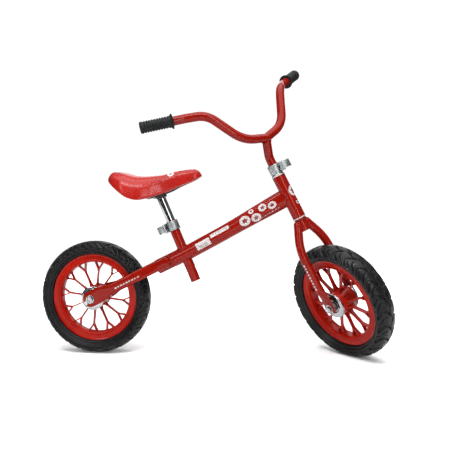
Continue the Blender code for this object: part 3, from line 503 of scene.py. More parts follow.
def arc(centre, radius, start, end, steps):
    return [(centre[0] + radius * cos(start + (end - start) * k / steps),
             centre[1] + radius * sin(start + (end - start) * k / steps)) for k in range(steps + 1)]


def rounded_path(points, radii, steps=14, straight=6):
    """A polyline with an arc at each inner corner, and points along its straight runs."""
    path = [points[0]]
    for before, corner, after, radius in zip(points, points[1:], points[2:], radii):
        back = (before - corner).normalized()
        ahead = (after - corner).normalized()
        angle = acos(max(-1.0, min(1.0, back.dot(ahead))))
        setback = radius / tan(angle / 2)
        centre = corner + (back + ahead).normalized() * (radius / sin(angle / 2))
        start = corner + back * setback - centre
        end = corner + ahead * setback - centre
        sweep = pi - angle
        last = path[-1]
        path += [last.lerp(centre + start, n / straight) for n in range(1, straight)]
        for k in range(steps + 1):
            share = k / steps
            path.append(centre + (sin((1 - share) * sweep) * start + sin(share * sweep) * end) / sin(sweep))
    last = path[-1]
    path += [last.lerp(points[-1], n / straight) for n in range(1, straight + 1)]
    return path


def section(centre, tangent, side, half_side, half_other, sides=48, power=2.0):
    side = (side - tangent * side.dot(tangent)).normalized()
    other = tangent.cross(side)
    loop = []
    for k in range(sides):
        c, s = cos(2 * pi * k / sides), sin(2 * pi * k / sides)
        a = half_side * abs(c) ** (2 / power) * (1 if c > 0 else -1)
        b = half_other * abs(s) ** (2 / power) * (1 if s > 0 else -1)
        loop.append(centre + side * a + other * b)
    return loop


def tangents(path):
    return [(path[min(k + 1, len(path) - 1)] - path[max(k - 1, 0)]).normalized() for k in range(len(path))]


def swept(path, sizes, side, sides=48, power=2.0):
    return lofted([section(point, tangent, side, size[0], size[1], sides, power)
                   for point, tangent, size in zip(path, tangents(path), sizes)])


def swept_round(path, radii, sides, closed=False):
    """Round wire along a path, with its section carried along without twist."""
    ways = tangents(path)
    if closed:
        ways = [(path[(k + 1) % len(path)] - path[k - 1]).normalized() for k in range(len(path))]
    side = Vector((0, 0, 1)) if abs(ways[0].z) < 0.9 else Vector((1, 0, 0))
    loops = []
    for point, tangent, size in zip(path, ways, radii):
        side = (side - tangent * side.dot(tangent)).normalized()
        loops.append(section(point, tangent, side, size, size, sides))
    if not closed:
        return lofted(loops)
    bm = bmesh.new()
    rings = rings_of(bm, loops)
    bridge(bm, *rings)
    first, last = rings[0], rings[-1]
    twist = min(range(sides), key=lambda s: (last[0].co - first[s].co).length)
    bridge(bm, last, first[twist:] + first[:twist])
    return facing_out(bm)


def eased(value, low, high):
    """Smooth rise from 0 at low to 1 at high, for a number or an array."""
    share = np.clip((value - low) / (high - low), 0.0, 1.0)
    return share * share * (3 - 2 * share)


def smooth_line(points, x):
    """Height at x of a smooth curve through (x, height) points."""
    xs = [p[0] * MM for p in points]
    ys = [p[1] * MM for p in points]
    last = len(xs) - 1
    n = next(k for k in range(last) if x <= xs[k + 1] or k == last - 1)

    def slope(k):
        if k in (0, last):
            return (ys[min(k + 1, last)] - ys[max(k - 1, 0)]) / (xs[min(k + 1, last)] - xs[max(k - 1, 0)])
        before = (ys[k] - ys[k - 1]) / (xs[k] - xs[k - 1])
        after = (ys[k + 1] - ys[k]) / (xs[k + 1] - xs[k])
        return 0.0 if before * after <= 0 else 2 * before * after / (before + after)

    width = xs[n + 1] - xs[n]
    t = (x - xs[n]) / width
    return ((2 * t ** 3 - 3 * t ** 2 + 1) * ys[n] + (t ** 3 - 2 * t ** 2 + t) * width * slope(n)
            + (-2 * t ** 3 + 3 * t ** 2) * ys[n + 1] + (t ** 3 - t ** 2) * width * slope(n + 1))


def along(direction, place):
    spin = Vector((0, 0, 1)).rotation_difference(direction).to_matrix().to_4x4()
    return Matrix.Translation(place) @ spin


def combined(target, shapes, operation="DIFFERENCE"):
    """The target with closed shapes cut away from it or added to it."""
    def held(bm):
        mesh = bpy.data.meshes.new("held")
        bm.to_mesh(mesh)
        bm.free()
        return linked("held", mesh)
    base = held(target)
    others = [held(shape) for shape in shapes]
    for other in others:
        modifier = base.modifiers.new("join", "BOOLEAN")
        modifier.operation = operation
        modifier.solver = "EXACT"
        modifier.object = other
    bpy.context.view_layer.update()
    mesh = bpy.data.meshes.new_from_object(base.evaluated_get(bpy.context.evaluated_depsgraph_get()))
    result = bmesh.new()
    result.from_mesh(mesh)
    bpy.data.meshes.remove(mesh)
    for used in [base] + others:
        bpy.data.objects.remove(used, do_unlink=True)
    return result


def rod(radius, low, high, segments=48, place=Matrix.Identity(4)):
    bm = turned([(0.0, low), (radius, low), (radius, high), (0.0, high)], segments)
    bm.transform(place)
    return bm


def piece(node, shape, look, place=BIKE, name=None, sharp=38):
    """Show a shape for a CAD node, or beside it under a name of its own, on the node's body."""
    mesh = shape
    if isinstance(shape, bmesh.types.BMesh):
        mesh = bpy.data.meshes.new(name or node + "_detail")
        shape.to_mesh(mesh)
        shape.free()
    mesh.transform(place)
    mesh.materials.clear()
    mesh.materials.append(look)
    mesh.shade_smooth()
    mesh.set_sharp_from_angle(angle=radians(sharp))
    made = linked(name or node + "_detail", mesh)
    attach(made, BODY_OF[node])
    if name is None:
        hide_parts(node)
    return made


# ---------------------------------------------------------------- wheels

TREAD_BLOCKS = 24
TREAD_STEPS = 36
TREAD_DEPTH = 3.4
SIPE_DEPTH = 1.5
TREAD_REACH = 41.0


def tyre_outline():
    """Half of the tyre's outline from the rim to the middle of the tread, as (radius, offset) in mm."""
    wall = [(109.9, 0.0), (109.9, 6.0), (109.9, 12.2), (113.0, 12.3), (115.3, 12.3), (115.35, 14.4),
            (115.35, 16.4), (115.8, 18.2), (116.6, 19.6), (117.6, 20.6), (118.8, 21.3), (119.9, 21.5),
            (120.4, 21.1), (120.8, 21.0), (121.2, 21.6), (122.0, 22.9), (123.6, 24.4), (125.4, 25.4),
            (127.0, 26.0), (128.2, 26.3), (128.7, 26.8), (129.1, 28.3), (129.7, 28.8)]
    side = [(130.6, 28.95), (131.6, 29.15), (132.6, 29.3), (133.6, 29.42), (134.6, 29.5), (135.5, 29.5)]
    crown = [(tyre_crown(a * MM) / MM, a) for a in np.linspace(29.5, 0.0, 32)]
    return wall, side + crown


def tread_depth(turn_share, reach):
    """Depth of the grooves below the tread at a share of a turn and a signed reach across it in mm."""
    pitch = 2 * pi * TYRE_RADIUS / MM / TREAD_BLOCKS
    blocks = turn_share * TREAD_BLOCKS + np.where(reach < 0, 0.5, 0.0)
    t = np.abs(reach) / TREAD_REACH

    def groove(middle, near, far):
        offset = blocks - middle
        return 1 - eased(np.abs(offset - np.round(offset)) * pitch, near, far)

    def between(start, end, fade=0.06):
        return eased(t, start, start + fade) * (1 - eased(t, end, end + fade))

    curve = 0.30 * np.sin(2 * pi * 0.80 * (t - 0.10)) + 0.22 * t
    main = groove(curve, 1.7 + 3.2 * t, 3.0 + 4.2 * t) * eased(t, 0.04, 0.10)
    hook = groove(curve + 0.50 - 0.45 * (t - 0.55), 0.9, 2.0) * between(0.26, 0.78)
    sipe = groove(curve + 0.26, 0.3, 1.0) * between(0.30, 0.88)
    rise = groove(curve + 0.5, 1.2, 3.4) * eased(t, 0.86, 0.92)
    weave = np.abs(reach - 2.6 * np.sin(2 * pi * turn_share * TREAD_BLOCKS))
    middle = 1 - eased(weave, 0.9, 1.9)
    return np.maximum.reduce([TREAD_DEPTH * main, 0.8 * TREAD_DEPTH * hook, TREAD_DEPTH * rise,
                              SIPE_DEPTH * sipe, 0.8 * TREAD_DEPTH * middle])


def tyre(name):
    wall, tread = tyre_outline()
    half = wall + tread
    outline = np.array([(r, -a) for r, a in half] + [(r, a) for r, a in half[-2:0:-1]])
    count = len(outline)
    after, before = np.roll(outline, -1, 0), np.roll(outline, 1, 0)
    run = after - before
    outward = np.stack([run[:, 1], -run[:, 0]], 1) / np.linalg.norm(run, axis=1)[:, None]
    lengths = np.linalg.norm(np.diff(outline, axis=0), axis=1)
    reach = np.concatenate([[0.0], np.cumsum(lengths)])
    reach -= reach[len(half) - 1]
    is_tread = np.zeros(count)
    is_tread[len(wall) + 1:count - len(wall)] = 1.0
    around = TREAD_BLOCKS * TREAD_STEPS
    share = np.arange(around) / around
    depth = tread_depth(share[:, None], reach[None, :]) * is_tread[None, :]
    points = outline[None, :, :] - outward[None, :, :] * depth[:, :, None]
    angle = 2 * pi * share[:, None]
    radius, offset = points[:, :, 0] * MM, points[:, :, 1] * MM
    coords = np.stack([radius * np.sin(angle), offset, -radius * np.cos(angle)], 2).reshape(-1, 3)
    k, n = np.meshgrid(np.arange(around), np.arange(count), indexing="ij")
    k2, n2 = (k + 1) % around, (n + 1) % count
    faces = np.stack([k * count + n, k2 * count + n, k2 * count + n2, k * count + n2], 2).reshape(-1, 4)
    mesh = bpy.data.meshes.new(name)
    mesh.from_pydata(coords.tolist(), [], faces.tolist())
    bm = bmesh.new()
    bm.from_mesh(mesh)
    facing_out(bm)
    bm.to_mesh(mesh)
    bm.free()
    return mesh


def spoke_outline():
    """Edge of one spoke that forks before the rim, as (along, across) in mm, upper half then lower."""
    fork, angle, half = 74.0, radians(7.0), 1.05
    tip = Vector((96.5 * cos(angle), 96.5 * sin(angle)))
    root = Vector((fork, 0.0))
    run = (tip - root).normalized()
    across = Vector((-run.y, run.x))
    length = (tip - root).length

    def prong_edge(share, way):
        """Point along one edge of the prong, which flares where it meets the rim."""
        flare = 0.8 * exp(-(1 - share) * length / 1.6)
        return tuple(root + run * length * share + across * way * (half + flare))

    shank = (27, 28, 29, 30, 31.5, 33, 35, 38, 42, 48, 56, 64)
    shares = (0.30, 0.45, 0.6, 0.75, 0.86, 0.93, 1.0)
    join = root + across * half + run * ((half - across.y * half) / run.y)
    crotch = root - across * half + run * (across.y * half / run.y)
    upper = [(x, half + 1.3 * exp(-(x - 28.0) / 2.2)) for x in shank]
    upper += [(join.x - 4.0, half + 0.02), (join.x - 1.2, half + 0.12), (join.x + 0.8, join.y + 0.42)]
    upper += [prong_edge(share, 1) for share in shares] + [prong_edge(share, -1) for share in shares[::-1]]
    upper += [(crotch.x + 1.6, 0.75), (crotch.x + 0.75, 0.30)]
    return upper + [(crotch.x + 0.5, 0.0)] + [(x, -y) for x, y in upper[::-1]]


def spoke(angle):
    """Spoke with rounded edges, flared along the axle where it meets the hub and the rim."""
    def half_width(x):
        return 4.6 + 8.0 * exp(-(x - 28.5) / 6.0) + 1.4 * exp(-(94.5 - x) / 3.0)
    outline = [Vector(p) for p in spoke_outline()]
    count = len(outline)
    spin = Matrix.Rotation(angle, 2)
    loops = []
    for level, inset in ((-1.0, 0.55), (-0.93, 0.16), (-0.82, 0.0), (0.82, 0.0), (0.93, 0.16), (1.0, 0.55)):
        loop = []
        for k, point in enumerate(outline):
            run = (outline[(k + 1) % count] - outline[k - 1]).normalized()
            place = spin @ (point + Vector((-run.y, run.x)) * inset)
            loop.append(Vector((place.x, half_width(point.x) * level, place.y)) * MM)
        loops.append(loop)
    bm = lofted(loops)
    bmesh.ops.triangulate(bm, faces=[f for f in bm.faces if len(f.verts) > 4])
    return bm


def moulded_wheel(phase):
    half = [(109.5, 12.6, 0.6), (115.0, 12.6, 0.3), (115.0, 14.8, 0.9), (110.5, 12.8, 1.5),
            (101.0, 13.4, 2.5), (97.8, 15.4, 1.4), (95.6, 14.4, 1.4), (93.6, 9.0, 2.5), (93.0, 4.0, 2.0)]
    rim = lathe(mirrored(half), 240, "Y")
    half_hub = [(29.5, 28.5, 1.2), (15.3, 28.5, 0.5), (15.3, 19.9, 0.3), (11.0, 19.9, 0.5)]
    hub = lathe(mirrored(half_hub), 120, "Y")
    spokes = joined(*[spoke(phase + 2 * pi * k / SPOKE_COUNT) for k in range(SPOKE_COUNT)])
    return combined(joined(rim, hub), [spokes], "UNION")


def hex_nut(low, high, side, segments=96):
    """Chamfered nut on the Y axis, with a plain bore that opens out at both faces."""
    def hexagon(angle):
        return 7.5 * MM / cos((angle + pi / 6) % (pi / 3) - pi / 6)
    span = high - low
    levels = [(0.0, 8.0), (0.10, 8.66), (0.78, 8.66), (0.88, 8.3), (0.96, 7.75), (1.0, 7.2)]
    outer = [[turned_point(min(hexagon(2 * pi * k / segments), limit * MM), (low + span * share) * side,
                           2 * pi * k / segments, "Y") for k in range(segments)] for share, limit in levels]
    bore = AXLE_RADIUS + GAP
    inner = [[turned_point(bore + (0.5 * MM if share in (0.0, 1.0) else 0.0), (low + span * share) * side,
                           2 * pi * k / segments, "Y") for k in range(segments)] for share, _ in levels]
    return hollow_lofted(outer, inner)


def threaded_axle():
    """Axle rod with ring threads at both ends."""
    def end(sign):
        points = [(4.75, 45.0)]
        for k in range(9):
            points += [(4.35, 45.5 + k), (4.75, 46.0 + k)]
        points = [(r, min(h, 53.2)) for r, h in points if h < 53.3] + [(3.9, 54.0)]
        return [(r, h * sign) for r, h in (points if sign > 0 else points[::-1])]
    outline = [(0.0, -54.0)] + end(-1) + end(1) + [(0.0, 54.0)]
    return turned([(r * MM, h * MM) for r, h in outline], 48, "Y")


def axle_set(name, place, looks):
    piece(name + "_axle", threaded_axle(), looks["zinc"], place)
    bore = AXLE_RADIUS / MM + 0.3
    washer = (DROPOUT_INNER + DROPOUT_THICKNESS + GAP) / MM
    inner, outer = HUB_HALF_LENGTH / MM, (DROPOUT_INNER - GAP) / MM
    for hand, side in HANDS:
        spacer = [(bore, inner, 0.3), (8.5, inner, 0.6), (8.5, outer - 3.5, 0.4), (7.6, outer - 3.0, 0.4),
                  (7.6, outer - 1.2, 0.3), (8.5, outer - 0.8, 0.2), (8.5, outer, 0.2), (bore, outer, 0.3)]
        piece(f"{name}_axle_spacer_{hand}", lathe(spacer, 64, "Y", side), looks["zinc"], place)
        ring = [(bore, washer, 0.2), (11.0, washer, 0.3), (11.0, washer + 1.6, 0.6),
                (bore, washer + 1.6, 0.3)]
        piece(f"{name}_axle_washer_{hand}", lathe(ring, 80, "Y", side), looks["chrome"], place)
        low = (washer + 1.9) * MM
        nut = hex_nut(low, low + 6.4 * MM, side)
        piece(f"{name}_axle_nut_{hand}", nut, looks["chrome"], place, sharp=25)


def wheel(name, place, phase, looks):
    rubber, plastic = tyre_rubber(name + "_tyre_rubber", place), red_plastic(name + "_wheel_red", place)
    piece(name + "_tyre", tyre(name + "_tyre_detail"), rubber, place, sharp=50)
    piece(name + "_wheel", moulded_wheel(phase), plastic, place, sharp=42)
    seal = bearing_seal(name + "_bearing_seal", place)
    face = HUB_HALF_LENGTH / MM + 0.3
    for hand, side in HANDS:
        outer, inner = face - 0.6, face - 8.6
        races = [(5.05, inner, 0.3), (15.0, inner, 0.6), (15.0, outer, 0.6), (13.2, outer, 0.3),
                 (12.9, outer - 0.7, 0.2), (7.9, outer - 0.7, 0.2), (7.6, outer, 0.3), (5.05, outer, 0.3)]
        piece(f"{name}_bearing_{hand}", lathe(races, 80, "Y", side), seal, place)
        disc = [(31.0, face - 2.8, 0.4), (31.0, face + 1.4, 1.4), (27.6, face + 1.95, 0.5),
                (27.0, face + 1.6, 0.3), (25.6, face + 1.75, 0.3), (25.0, face + 2.2, 0.5),
                (19.5, face + 2.8, 0.8), (17.5, face + 2.8, 0.9), (17.5, face, 0.4), (29.8, face, 0.2),
                (29.8, face - 2.8, 0.3)]
        piece(f"{name}_hub_disc_{hand}", lathe(disc, 120, "Y", side), looks["chrome"], place, sharp=50)


# ---------------------------------------------------------------- frame

def bead(points, radius, look, node, name, place):
    """Weld bead as a closed ring through surface points, in even ripples."""
    ring = []
    count = len(points)
    total = sum((points[k] - points[k - 1]).length for k in range(count))
    steps = max(48, int(total / (0.8 * MM)))
    cumulative = [0.0]
    for k in range(count):
        cumulative.append(cumulative[-1] + (points[(k + 1) % count] - points[k]).length)
    for n in range(steps):
        want = total * n / steps
        k = next(i for i in range(count) if cumulative[i + 1] >= want)
        span = cumulative[k + 1] - cumulative[k]
        ring.append(points[k].lerp(points[(k + 1) % count], (want - cumulative[k]) / max(span, 1e-9)))
    ripples = round(total / (2.6 * MM))
    sizes = [radius * (1 + 0.10 * cos(2 * pi * ripples * n / steps)) for n in range(steps)]
    piece(node, swept_round(ring, sizes, 14, closed=True), look, place, name=name)


def main_tube_stations():
    """Points along the tube with their tangents and the oval's half width and half height."""
    corners = [Vector((x * MM, 0.0, z * MM)) for x, z in MAIN_TUBE_PATH]
    path = rounded_path(corners, [300 * MM] * (len(corners) - 2), 10, 8)
    stations = []
    for point, tangent in zip(path, tangents(path)):
        oval = eased(point.x, corners[2].x, corners[-1].x)
        stations.append((point, tangent, MAIN_TUBE_RADIUS + (14.5 * MM - MAIN_TUBE_RADIUS) * oval,
                         MAIN_TUBE_RADIUS + (23.0 * MM - MAIN_TUBE_RADIUS) * oval))
    return stations


def main_tube_body(sides=80):
    """Solid main tube, with a domed plug that closes its rear end."""
    side, dome = Vector((0, 1, 0)), 3.0 * MM
    stations = main_tube_stations()
    point, tangent, width, height = stations[0]
    loops = [section(point + tangent * dome * (sqrt(1 - share ** 2) - 1), tangent, side, width * share,
                     height * share, sides) for share in (0.25, 0.55, 0.8, 0.93, 0.985)]
    loops += [section(p + (tangent * dome if k == 0 else Vector()), t, side, w, h, sides)
              for k, (p, t, w, h) in enumerate(stations)]
    return lofted(loops)


def slot_shape(angle, centre, side):
    """Open slot for the axle, running out from its centre at an angle in the XZ plane."""
    half = AXLE_RADIUS + GAP
    outline = [(-x, z) for x, z in arc((0, 0), half, pi / 2, 3 * pi / 2, 24)]
    outline = [(-40 * MM, half)] + outline + [(-40 * MM, -half)]
    spin = Matrix.Rotation(-(angle - pi), 2).inverted()
    near, far = (DROPOUT_INNER - 8 * MM) * side, (DROPOUT_INNER + 14 * MM) * side
    slot = extruded([spin @ Vector(p) for p in outline], min(near, far), max(near, far), "XZ")
    bmesh.ops.translate(slot, verts=slot.verts, vec=centre)
    return slot


def stay_body(side):
    run, axle = STAY_RUN, REAR_AXLE
    plate = DROPOUT_INNER + DROPOUT_THICKNESS / 2
    beside_tube = MAIN_TUBE_RADIUS + STAY_HALF_THICKNESS + 2 * GAP
    stations = ((STAY_FRONT_REACH, beside_tube), (190 * MM, beside_tube), (128 * MM, 41.5 * MM),
                (50 * MM, plate), (STAY_DROPOUT_RADIUS, plate))
    corners = [axle + run * reach + Vector((0, spread * side, 0)) for reach, spread in stations]
    path = rounded_path(corners, [70 * MM, 70 * MM, 70 * MM], 12, 10)
    ends = [STAY_DROPOUT_RADIUS / MM * sin(radians(a)) for a in (0, 12, 25, 38, 50, 60, 69, 77, 83, 87.5)]
    path = path[:-1] + [axle + run * (STAY_DROPOUT_RADIUS * share) + Vector((0, plate * side, 0))
                        for share in (1.0, 0.75, 0.5, 0.25)]
    path += [axle - run * (d * MM) + Vector((0, plate * side, 0)) for d in ends]
    sizes = []
    for point in path:
        reach = (point - axle).dot(run)
        flat = 1.0 - eased(reach, 22 * MM, 62 * MM)
        half_height = STAY_HALF_HEIGHT + (STAY_DROPOUT_RADIUS - STAY_HALF_HEIGHT) * flat
        half_thick = STAY_HALF_THICKNESS + (DROPOUT_THICKNESS / 2 - STAY_HALF_THICKNESS) * flat
        if reach < 0:
            half_height = sqrt(max(STAY_DROPOUT_RADIUS ** 2 - reach ** 2, 1e-8))
        front = max(0.0, reach - (STAY_FRONT_REACH - 12 * MM)) / (12 * MM)
        sizes.append((half_thick * sqrt(1 - 0.5 * min(front, 1.0) ** 4),
                      half_height * sqrt(1 - 0.85 * front ** 2)))
    body = swept(path, sizes, Vector((0, 1, 0)), 56, 3.4)
    return combined(body, [slot_shape(radians(220), axle, side)])


def stay_weld(side):
    """Points round the front end of a stay, between its flat and the tube beside it."""
    ring = []
    for reach, height in rounded([(194, -12.5, 5), (232, -12.5, 7), (232, 12.5, 7), (194, 12.5, 5)], 8):
        y = sqrt(max(MAIN_TUBE_RADIUS ** 2 - (height * 0.98) ** 2, 1e-9))
        spot = REAR_AXLE + STAY_RUN * reach + STAY_RISE * height
        spot.y = (0.35 * y + 0.65 * (MAIN_TUBE_RADIUS + GAP)) * side
        ring.append(spot)
    return ring


def frame_pieces(looks):
    paint = looks["paint"]
    tube = main_tube_body()
    tube_tree = BVHTree.FromBMesh(tube)
    seat_cut = rod(SEAT_TUBE_RADIUS + GAP, -20 * MM, SEAT_TUBE_LENGTH, place=SEAT_IN_BIKE)
    head_cut = rod(HEAD_TUBE_RADIUS + GAP, 300 * MM, 560 * MM, place=HEAD_IN_BIKE)
    piece("main_tube", combined(tube, [seat_cut, head_cut]), paint)
    pipe = lathe([(11.4, 0, 0.4), (12.7, 0, 0.4), (12.7, 168, 0.5), (11.4, 168, 0.4)], 96)
    saw = slit(SEAT_TUBE_LENGTH - 32 * MM, SEAT_TUBE_LENGTH + 5 * MM)
    piece("seat_tube", combined(pipe, [saw]), paint, SEAT)
    head = lathe([(14.2, 394.7, 0.3), (16.5, 394.7, 0.5), (16.5, 509, 0.5), (14.2, 509, 0.3)], 96)
    piece("head_tube", head, paint, HEAD)
    for hand, side in HANDS:
        piece("stay_" + hand, stay_body(side), paint)
    cup = [(13.0, 0, 0.3), (17.9, 0, 0.5), (17.9, 1.3, 0.5), (16.2, 1.9, 0.3), (15.9, 3.3, 0.3),
           (13.0, 3.3, 0.3)]
    low, top = HEAD_TUBE_LOW / MM - 0.3, HEAD_TUBE_TOP / MM + 0.3
    piece("headset_lower_cup", lathe([(r, low - h, f) for r, h, f in cup], 96), looks["white"], HEAD)
    piece("headset_top_cup", lathe([(r, top + h * 0.9, f) for r, h, f in cup], 96), looks["white"], HEAD)

    # Weld beads where tubes meet
    around = section(Vector((0, 0, 150 * MM)), Vector((0, 0, 1)), Vector((1, 0, 0)), 12.9 * MM, 12.9 * MM, 96)
    down = (SEAT_IN_BIKE.to_3x3() @ Vector((0, 0, -1))).normalized()
    ring = landed(tube_tree, [SEAT_IN_BIKE @ point for point in around], down)
    bead(ring, 1.9 * MM, paint, "main_tube", "seat_tube_weld", BIKE)
    stations = main_tube_stations()
    point, _, width, height = stations[-9]
    ahead = stations[-1][1]
    head_wall = surface_of(rod(HEAD_TUBE_RADIUS, 300 * MM, 560 * MM, 128, HEAD_IN_BIKE))
    ring = landed(head_wall, section(point, ahead, Vector((0, 1, 0)), width * 0.97, height, 96), ahead)
    bead(ring, 2.1 * MM, paint, "head_tube", "head_tube_weld", BIKE)
    for hand, side in HANDS:
        bead(stay_weld(side), 2.3 * MM, paint, "stay_" + hand, f"stay_{hand}_weld", BIKE)
    return tube_tree


# ---------------------------------------------------------------- quick-release clamps

def clamp_outline():
    bore = SEAT_TUBE_RADIUS + GAP
    inner_angle, outer_angle = asin(EAR_HALF_GAP / bore), asin(EAR_HALF_WIDTH / CLAMP_RADIUS)
    outer = arc((0, 0), CLAMP_RADIUS, outer_angle + 0.12, 2 * pi - outer_angle - 0.12, 72)
    inner = arc((0, 0), bore, 2 * pi - inner_angle, inner_angle, 64)
    reach, half = EAR_REACH, EAR_HALF_WIDTH
    ear = [(reach, EAR_HALF_GAP), (reach, half - 1.6 * MM), (reach - 0.5 * MM, half - 0.5 * MM),
           (reach - 1.6 * MM, half), (17.5 * MM, half), (16.4 * MM, half + 0.3 * MM)]
    return ear + outer + [(x, -y) for x, y in ear[::-1]] + inner


def lever_outline():
    middle_x, sweep = CLAMP_BOLT_X + 1.0 * MM, radians(-12)
    inside, middle = LEVER_BOW_RADIUS - LEVER_THICKNESS, LEVER_BOW_RADIUS - LEVER_THICKNESS / 2
    outer = arc((middle_x, 0.0), LEVER_BOW_RADIUS, sweep, radians(84), 28)
    inner = arc((middle_x, 0.0), inside, radians(50), sweep, 18)
    tip = arc((middle_x + middle * cos(sweep), middle * sin(sweep)), LEVER_THICKNESS / 2 * 0.9,
              radians(168), radians(168 + 180), 6)
    boss = arc((CLAMP_BOLT_X, LEVER_PIN_Y), LEVER_BOSS_RADIUS, radians(110), radians(330), 28)
    return outer + boss + inner + tip[1:-1]


def clamp(name, place, low, looks):
    """Collar, T-bolt and nut in the clamp's axes, and the lever about its pin."""
    middle = low + CLAMP_HEIGHT / 2
    across = shift(CLAMP_BOLT_X, 0, middle) @ turn(-pi / 2, "X")
    collar = extruded(clamp_outline(), low, low + CLAMP_HEIGHT, edge=0.9 * MM)
    hole = rod(CLAMP_BOLT_RADIUS + GAP, -20 * MM, 20 * MM, place=across)
    piece(name + "_collar", combined(collar, [hole]), looks["aluminium"], place)

    shaft = rod(CLAMP_BOLT_RADIUS, -12.5 * MM, LEVER_PIN_Y, place=across)
    half = LEVER_HALF_HEIGHT / MM
    barrel = lathe([(0, -half, 0), (3.2, -half, 0.5), (3.2, half, 0.5), (0, half, 0)], 48)
    bmesh.ops.translate(barrel, verts=barrel.verts, vec=(CLAMP_BOLT_X, LEVER_PIN_Y, middle))
    piece(name + "_bolt", combined(barrel, [shaft], "UNION"), looks["zinc"], place)

    bore, start = CLAMP_BOLT_RADIUS / MM + 0.3, -EAR_HALF_WIDTH / MM - 0.3
    nut = lathe([(bore, start, 0.2), (4.6, start, 0.3), (4.6, start - 3.8, 0.5), (3.9, start - 5.5, 0.6),
                 (bore, start - 5.5, 0.3)], 60)
    nut.transform(across)
    piece(name + "_nut", nut, looks["black"], place)

    shape = extruded([(x - CLAMP_BOLT_X, y - LEVER_PIN_Y) for x, y in lever_outline()],
                     -LEVER_HALF_HEIGHT, LEVER_HALF_HEIGHT, edge=0.8 * MM)
    window = CLAMP_BOLT_RADIUS + 0.6 * MM
    clear = LEVER_BOSS_RADIUS * 1.4
    swing = [(-clear, -clear), (window, -clear), (window, 0.9 * window),
             (-0.2 * clear, clear), (-clear, clear)]
    bored = combined(shape, [rod(LEVER_PIN_RADIUS + GAP, -20 * MM, 20 * MM),
                             extruded(swing, -window, window)])
    pin = place @ shift(CLAMP_BOLT_X, LEVER_PIN_Y, middle)
    piece(name + "_lever", bored, looks["aluminium"], pin)


# ---------------------------------------------------------------- fork and bars

def blade_path(side):
    plate = DROPOUT_INNER + DROPOUT_THICKNESS / 2
    corners = [Vector((0, 14.0 * MM * side, 380 * MM)), Vector((0, BLADE_SPREAD * side, 320 * MM)),
               Vector((0, BLADE_SPREAD * side, 215 * MM)), Vector((0, plate * side, 184 * MM)),
               Vector((0, plate * side, FRONT_AXLE))]
    path = rounded_path(corners, [120 * MM, 270 * MM, 180 * MM], 16, 8)
    ends = [FORK_DROPOUT_RADIUS / MM * sin(radians(a)) for a in (12, 25, 38, 50, 60, 69, 77, 83, 87.5)]
    return path + [Vector((0, plate * side, FRONT_AXLE - d * MM)) for d in ends]


def blade_body(side):
    path = blade_path(side)
    top = (path[0] - path[1]).normalized()
    sizes = [(BLADE_RADIUS * cos(radians(a)), BLADE_RADIUS * cos(radians(a))) for a in (80, 62, 44, 26, 10)]
    dome = [path[0] + top * (6.5 * MM * sin(radians(a))) for a in (80, 62, 44, 26, 10)]
    for point in path:
        reach = point.z - FRONT_AXLE
        flat = 1.0 - eased(reach, 17 * MM, 52 * MM)
        half_wide = BLADE_RADIUS + (FORK_DROPOUT_RADIUS - BLADE_RADIUS) * flat
        half_thick = BLADE_RADIUS + (DROPOUT_THICKNESS / 2 - BLADE_RADIUS) * flat
        if reach < 0:
            half_wide = sqrt(max(FORK_DROPOUT_RADIUS ** 2 - reach ** 2, 1e-8))
        sizes.append((half_wide, half_thick))
    return swept(dome + path, sizes, Vector((1, 0, 0)), 48)


def fork_pieces(looks):
    paint = looks["paint"]
    steerer = lathe([(11.4, 357.5, 0.4), (12.7, 357.5, 0.6), (12.7, 543, 0.4), (11.4, 543, 0.4)], 96)
    piece("steerer_tube", combined(steerer, [slit(513 * MM, 548 * MM)]), paint, STEERING)
    column = surface_of(rod(STEERER_RADIUS, 300 * MM, 450 * MM, 96))
    trees = {}
    for hand, side in HANDS:
        node = "fork_blade_" + hand
        body = blade_body(side)
        trees[hand] = BVHTree.FromBMesh(body)
        cope = rod(STEERER_RADIUS + GAP, 300 * MM, 450 * MM, 94)
        slot = slot_shape(radians(270), Vector((0, 0, FRONT_AXLE)), side)
        piece(node, combined(body, [cope, slot]), paint, STEERING)
        path = blade_path(side)
        ahead = (path[0] - path[4]).normalized()
        outline = section(path[4], ahead, Vector((1, 0, 0)), BLADE_RADIUS, BLADE_RADIUS, 96)
        bead(landed(column, outline, ahead), 1.8 * MM, paint, node, node + "_weld", STEERING)
    race = HEAD_TUBE_LOW / MM - 3.9
    ring = [(13.0, race - 5, 0.3), (14.6, race - 5, 0.8), (15.5, race - 3.2, 0.6), (15.5, race, 0.4),
            (13.0, race, 0.3)]
    piece("crown_race", lathe(ring, 96), paint, STEERING)
    low, high = HEAD_TUBE_TOP / MM + 3.6, BAR_CLAMP_LOW / MM - 0.3
    nut = [(13.0, low, 0.2), (16.0, low, 0.4), (16.0, low + 1.4, 0.4), (14.6, high, 0.4), (13.0, high, 0.2)]
    piece("headset_lock_nut", lathe(nut, 96), looks["zinc"], STEERING)
    return trees


def bent_tube(path, side, sides=56):
    stations = list(zip(path, tangents(path)))
    outer, inner = ([section(point, tangent, side, radius, radius, sides) for point, tangent in stations]
                    for radius in (BAR_RADIUS, BAR_RADIUS - 1.6 * MM))
    return hollow_lofted(outer, inner)


def bar_path():
    half = [Vector(bend[:3]) * MM for bend in BAR_BENDS]
    radii = [bend[3] * MM for bend in BAR_BENDS]
    right = [Vector((p.x, -p.y, p.z)) for p in half[:0:-1]]
    return rounded_path(right + half, radii[-2:0:-1] + radii[:-1], 14, 6)


